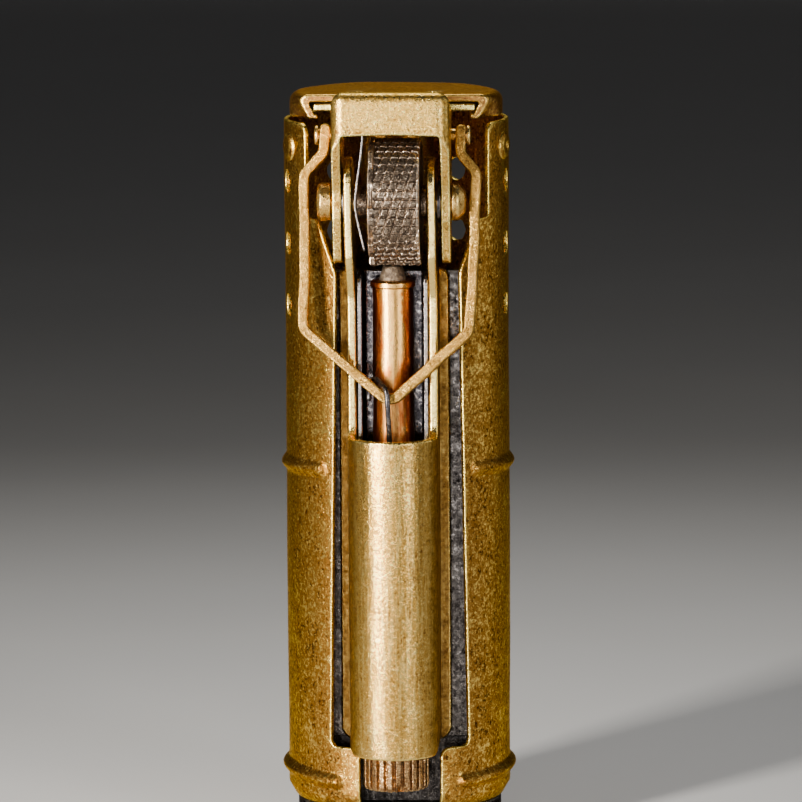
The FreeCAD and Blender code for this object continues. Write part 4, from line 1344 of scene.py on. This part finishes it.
def wick_tube(low, high):
    profile = eased([(1.62, low[2] + 1, 0), (1.62, low[2], 0.1), (2.0, low[2], 0.1),
                     (2.0, 47.2, 0), (2.06, 47.3, 0.03), (2.06, 47.6, 0.03), (2.0, 47.7, 0.03),
                     (2.0, high[2] - 0.2, 0.1), (1.93, high[2], 0.12), (1.62, high[2], 0.15),
                     (1.62, low[2] + 1, 0)])
    return lathe(subdivided_section(profile, 1.0), (0, WICK_Y, 0), 56)


def wick(low, high):
    """A braided cotton wick with a scorched, frayed top."""
    reach = 1.5
    profile = [(0, low[2]), (reach * 0.8, low[2])]
    profile += [(reach, z) for z in np.arange(low[2] + 0.3, high[2] - 0.35, 0.16)]
    profile += [(reach * 0.96, high[2] - 0.3), (reach * 0.8, high[2] - 0.12),
                (reach * 0.45, high[2] - 0.04), (0, high[2] - 0.1)]

    def ripple(angle, radius, height):
        twist = height * 2.2
        braid = np.maximum(np.sin(angle * 5 + twist), np.sin(angle * 5 - twist))
        return 0.1 * (braid - 1) * np.clip(radius / reach, 0, 1)

    points, faces, _, _ = lathe(profile, (0, WICK_Y, 0), 72, ripple=ripple)
    top = np.clip((points[:, 2] - (high[2] - 1.3)) / 1.0, 0, 1)
    points += np.stack([ripple_noise(points, 0.4, seed) for seed in (1, 2, 5)], 1) * (
        top[:, None] * np.array([0.14, 0.14, 0.06]))
    return points, faces, area_normals(points, faces), top


def carried_over(name, slot):
    """A CAD node that shows as it is, under its own material."""
    item = frame["nodes"][name]
    item.data.materials.clear()
    item.data.materials.append(MATERIALS[slot])


# Each piece: its maker, its name, its slot and its body. A maker has the name of the CAD node
# that its piece replaces. It takes that node's lowest and highest corner, and makes the mesh.
PIECES = (
    (outer_case, "outer_case_shell", "case_brass", "case"),
    (case_studs, "case_stud_heads", "case_brass", "case"),
    (partition_plate, "partition_sheet", "nickel", "case"),
    (flint_housing, "flint_housing_channel", "housing_brass", "case"),
    (steel_liner, "steel_liner_channel", "dark_steel", "case"),
    (flint_tube, "flint_tube_pipe", "red_copper", "case"),
    (flint, "flint_stick", "flint_alloy", "case"),
    (flint_plunger, "flint_plunger_pin", "rivet_brass", "case"),
    (flint_spring, "flint_spring_coil", "dark_steel", "case"),
    (flint_screw, "flint_screw_head", "knurled_brass", "screw"),
    (spring_seat, "spring_seat_ring", "rivet_brass", "case"),
    (main_spring, "main_spring_coil", "dark_steel", "case"),
    (wheel_axle, "wheel_axle_pin", "rivet_brass", "case"),
    (axle_washers, "axle_washer_rings", "dark_steel", "case"),
    (flint_wheel, "flint_wheel_knurled", "wheel_steel", "wheel"),
    (thumb_lever, "thumb_lever_sheet", "lever_brass", "lever"),
    (bail_pins, "bail_pin_rivets", "rivet_brass", "lever"),
    (lid_cap, "lid_cap_shell", "lid_brass", "lever"),
    (lid_liner, "lid_liner_plate", "lever_brass", "lever"),
    (lid_rivets, "lid_rivet_heads", "rivet_brass", "lever"),
    (snuffer_cup, "snuffer_cup_shell", "case_brass", "lever"),
    (snuffer_pad, "snuffer_pad_felt", "felt", "lever"),
    (pawl_spring, "pawl_leaf", "dark_steel", "lever"),
    (bail, "bail_strip", "bail_brass", "bail"),
    (spring_hook, "spring_hook_wire", "dark_steel", "hook"),
    (tank_shell, "tank_shell_wall", "nickel", "tank"),
    (tank_top, "tank_top_plate", "nickel", "tank"),
    (tank_base, "tank_base_disc", "nickel", "tank"),
    (filler_screw, "filler_screw_slotted", "rivet_brass", "filler"),
    (filler_gasket, "filler_gasket_ring", "gasket_rubber", "tank"),
    (wick_tube, "wick_tube_pipe", "nickel", "tank"),
    (wick, "wick_braid", "cotton", "tank"),
)

for make, name, slot, body in PIECES:
    add_piece(name, make(*box_mm(make.__name__)), slot, body, make.__name__)
coil, coil_foot = bpy.data.objects["main_spring_coil"], box_mm("main_spring")[0][2]
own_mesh(coil)
carried_over("cotton_wadding", "cotton")


# ------------------------------------------------------ floor, lights, camera


def pale_paint():
    shader = Shader("PalePaint")
    colour = (0.62, 0.61, 0.59)
    cloud = shader.noise(0.02, 3.0, 0.5)
    shaded = tuple(part * 0.97 for part in colour)
    tone = shader.mix(shader.spread(cloud, 0.3, 0.7), shaded, colour)
    return shader.set(Base_Color=tone, Roughness=shader.spread(cloud, 0.3, 0.7, 0.75, 0.85))


def floor_and_backdrop():
    """A pale table that curves up behind into a backdrop."""
    front, back, half, height, curve, steps = -1000.0, 1200.0, 1100.0, 900.0, 300.0, 24
    profile = [(front, 0.0), (back - curve, 0.0)]
    for step in range(1, steps + 1):
        angle = math.pi / 2 * step / steps
        profile.append((back - curve + curve * math.sin(angle), curve * (1 - math.cos(angle))))
    profile.append((back, height))
    points = [(x * MM, y * MM, z * MM) for y, z in profile for x in (-half, half)]
    faces = [[i * 2, i * 2 + 1, i * 2 + 3, i * 2 + 2] for i in range(len(profile) - 1)]
    mesh = bpy.data.meshes.new("Floor")
    mesh.from_pydata(points, [], faces)
    mesh.polygons.foreach_set("use_smooth", [True] * len(mesh.polygons))
    mesh.materials.append(pale_paint())
    floor = bpy.data.objects.new("Floor", mesh)
    bpy.context.scene.collection.objects.link(floor)


def aim(item, target):
    """Turns a light or camera towards a point."""
    item.rotation_euler = (Vector(target) - item.location).to_track_quat("-Z", "Y").to_euler()


def softbox(name, azimuth, distance, height, width, tall, radiance, colour=(1, 1, 1), look_z=35.0):
    """A flat light at an azimuth from the front, facing the lighter. Sizes in millimetres."""
    lamp = bpy.data.lights.new(name, "AREA")
    lamp.shape = "RECTANGLE"
    lamp.size, lamp.size_y = width * MM, tall * MM
    lamp.energy = radiance * lamp.size * lamp.size_y
    lamp.color = colour
    lamp.spread = math.radians(120)
    item = bpy.data.objects.new(name, lamp)
    item.visible_camera = False
    angle = math.radians(azimuth)
    item.location = Vector((math.sin(angle) * distance, -math.cos(angle) * distance, height)) * MM
    aim(item, Vector((0, 0, look_z)) * MM)
    bpy.context.scene.collection.objects.link(item)


def lights():
    softbox("KeyStrip", -35, 170, 50, 20, 200, 145, (1.0, 0.96, 0.9))
    softbox("FrontPanel", -4, 280, 27, 70, 46, 16, look_z=20.0)
    softbox("FrontFill", 40, 230, 60, 50, 180, 13)
    softbox("LeftPanel", -98, 190, 70, 60, 220, 1.0)
    softbox("RightPanel", 100, 190, 70, 60, 220, 2.0)
    softbox("TopPanel", 180, 110, 230, 120, 90, 9, look_z=60.0)
    world = bpy.data.worlds.new("Studio")
    world.use_nodes = True
    backdrop = world.node_tree.nodes["Background"]
    backdrop.inputs["Color"].default_value = (0.9, 0.92, 1.0, 1.0)
    backdrop.inputs["Strength"].default_value = 0.03
    bpy.context.scene.world = world


def camera():
    data = bpy.data.cameras.new("Camera")
    data.sensor_width, data.lens = 36.0, 283.9
    data.clip_start, data.clip_end = 0.01, 10.0
    data.dof.use_dof = False
    item = bpy.data.objects.new("Camera", data)
    azimuth, elevation, roll = math.radians(2.7), math.radians(8.0), math.radians(-0.33)
    distance = 550.0
    target = Vector((0.28, 0.0, 37.9))
    level = math.cos(elevation)
    out = Vector((math.sin(azimuth) * level, -math.cos(azimuth) * level, math.sin(elevation)))
    item.location = (target + out * distance) * MM
    aim(item, target * MM)
    item.rotation_euler.rotate_axis("Z", roll)
    bpy.context.scene.collection.objects.link(item)
    bpy.context.scene.camera = item


floor_and_backdrop()
lights()
camera()
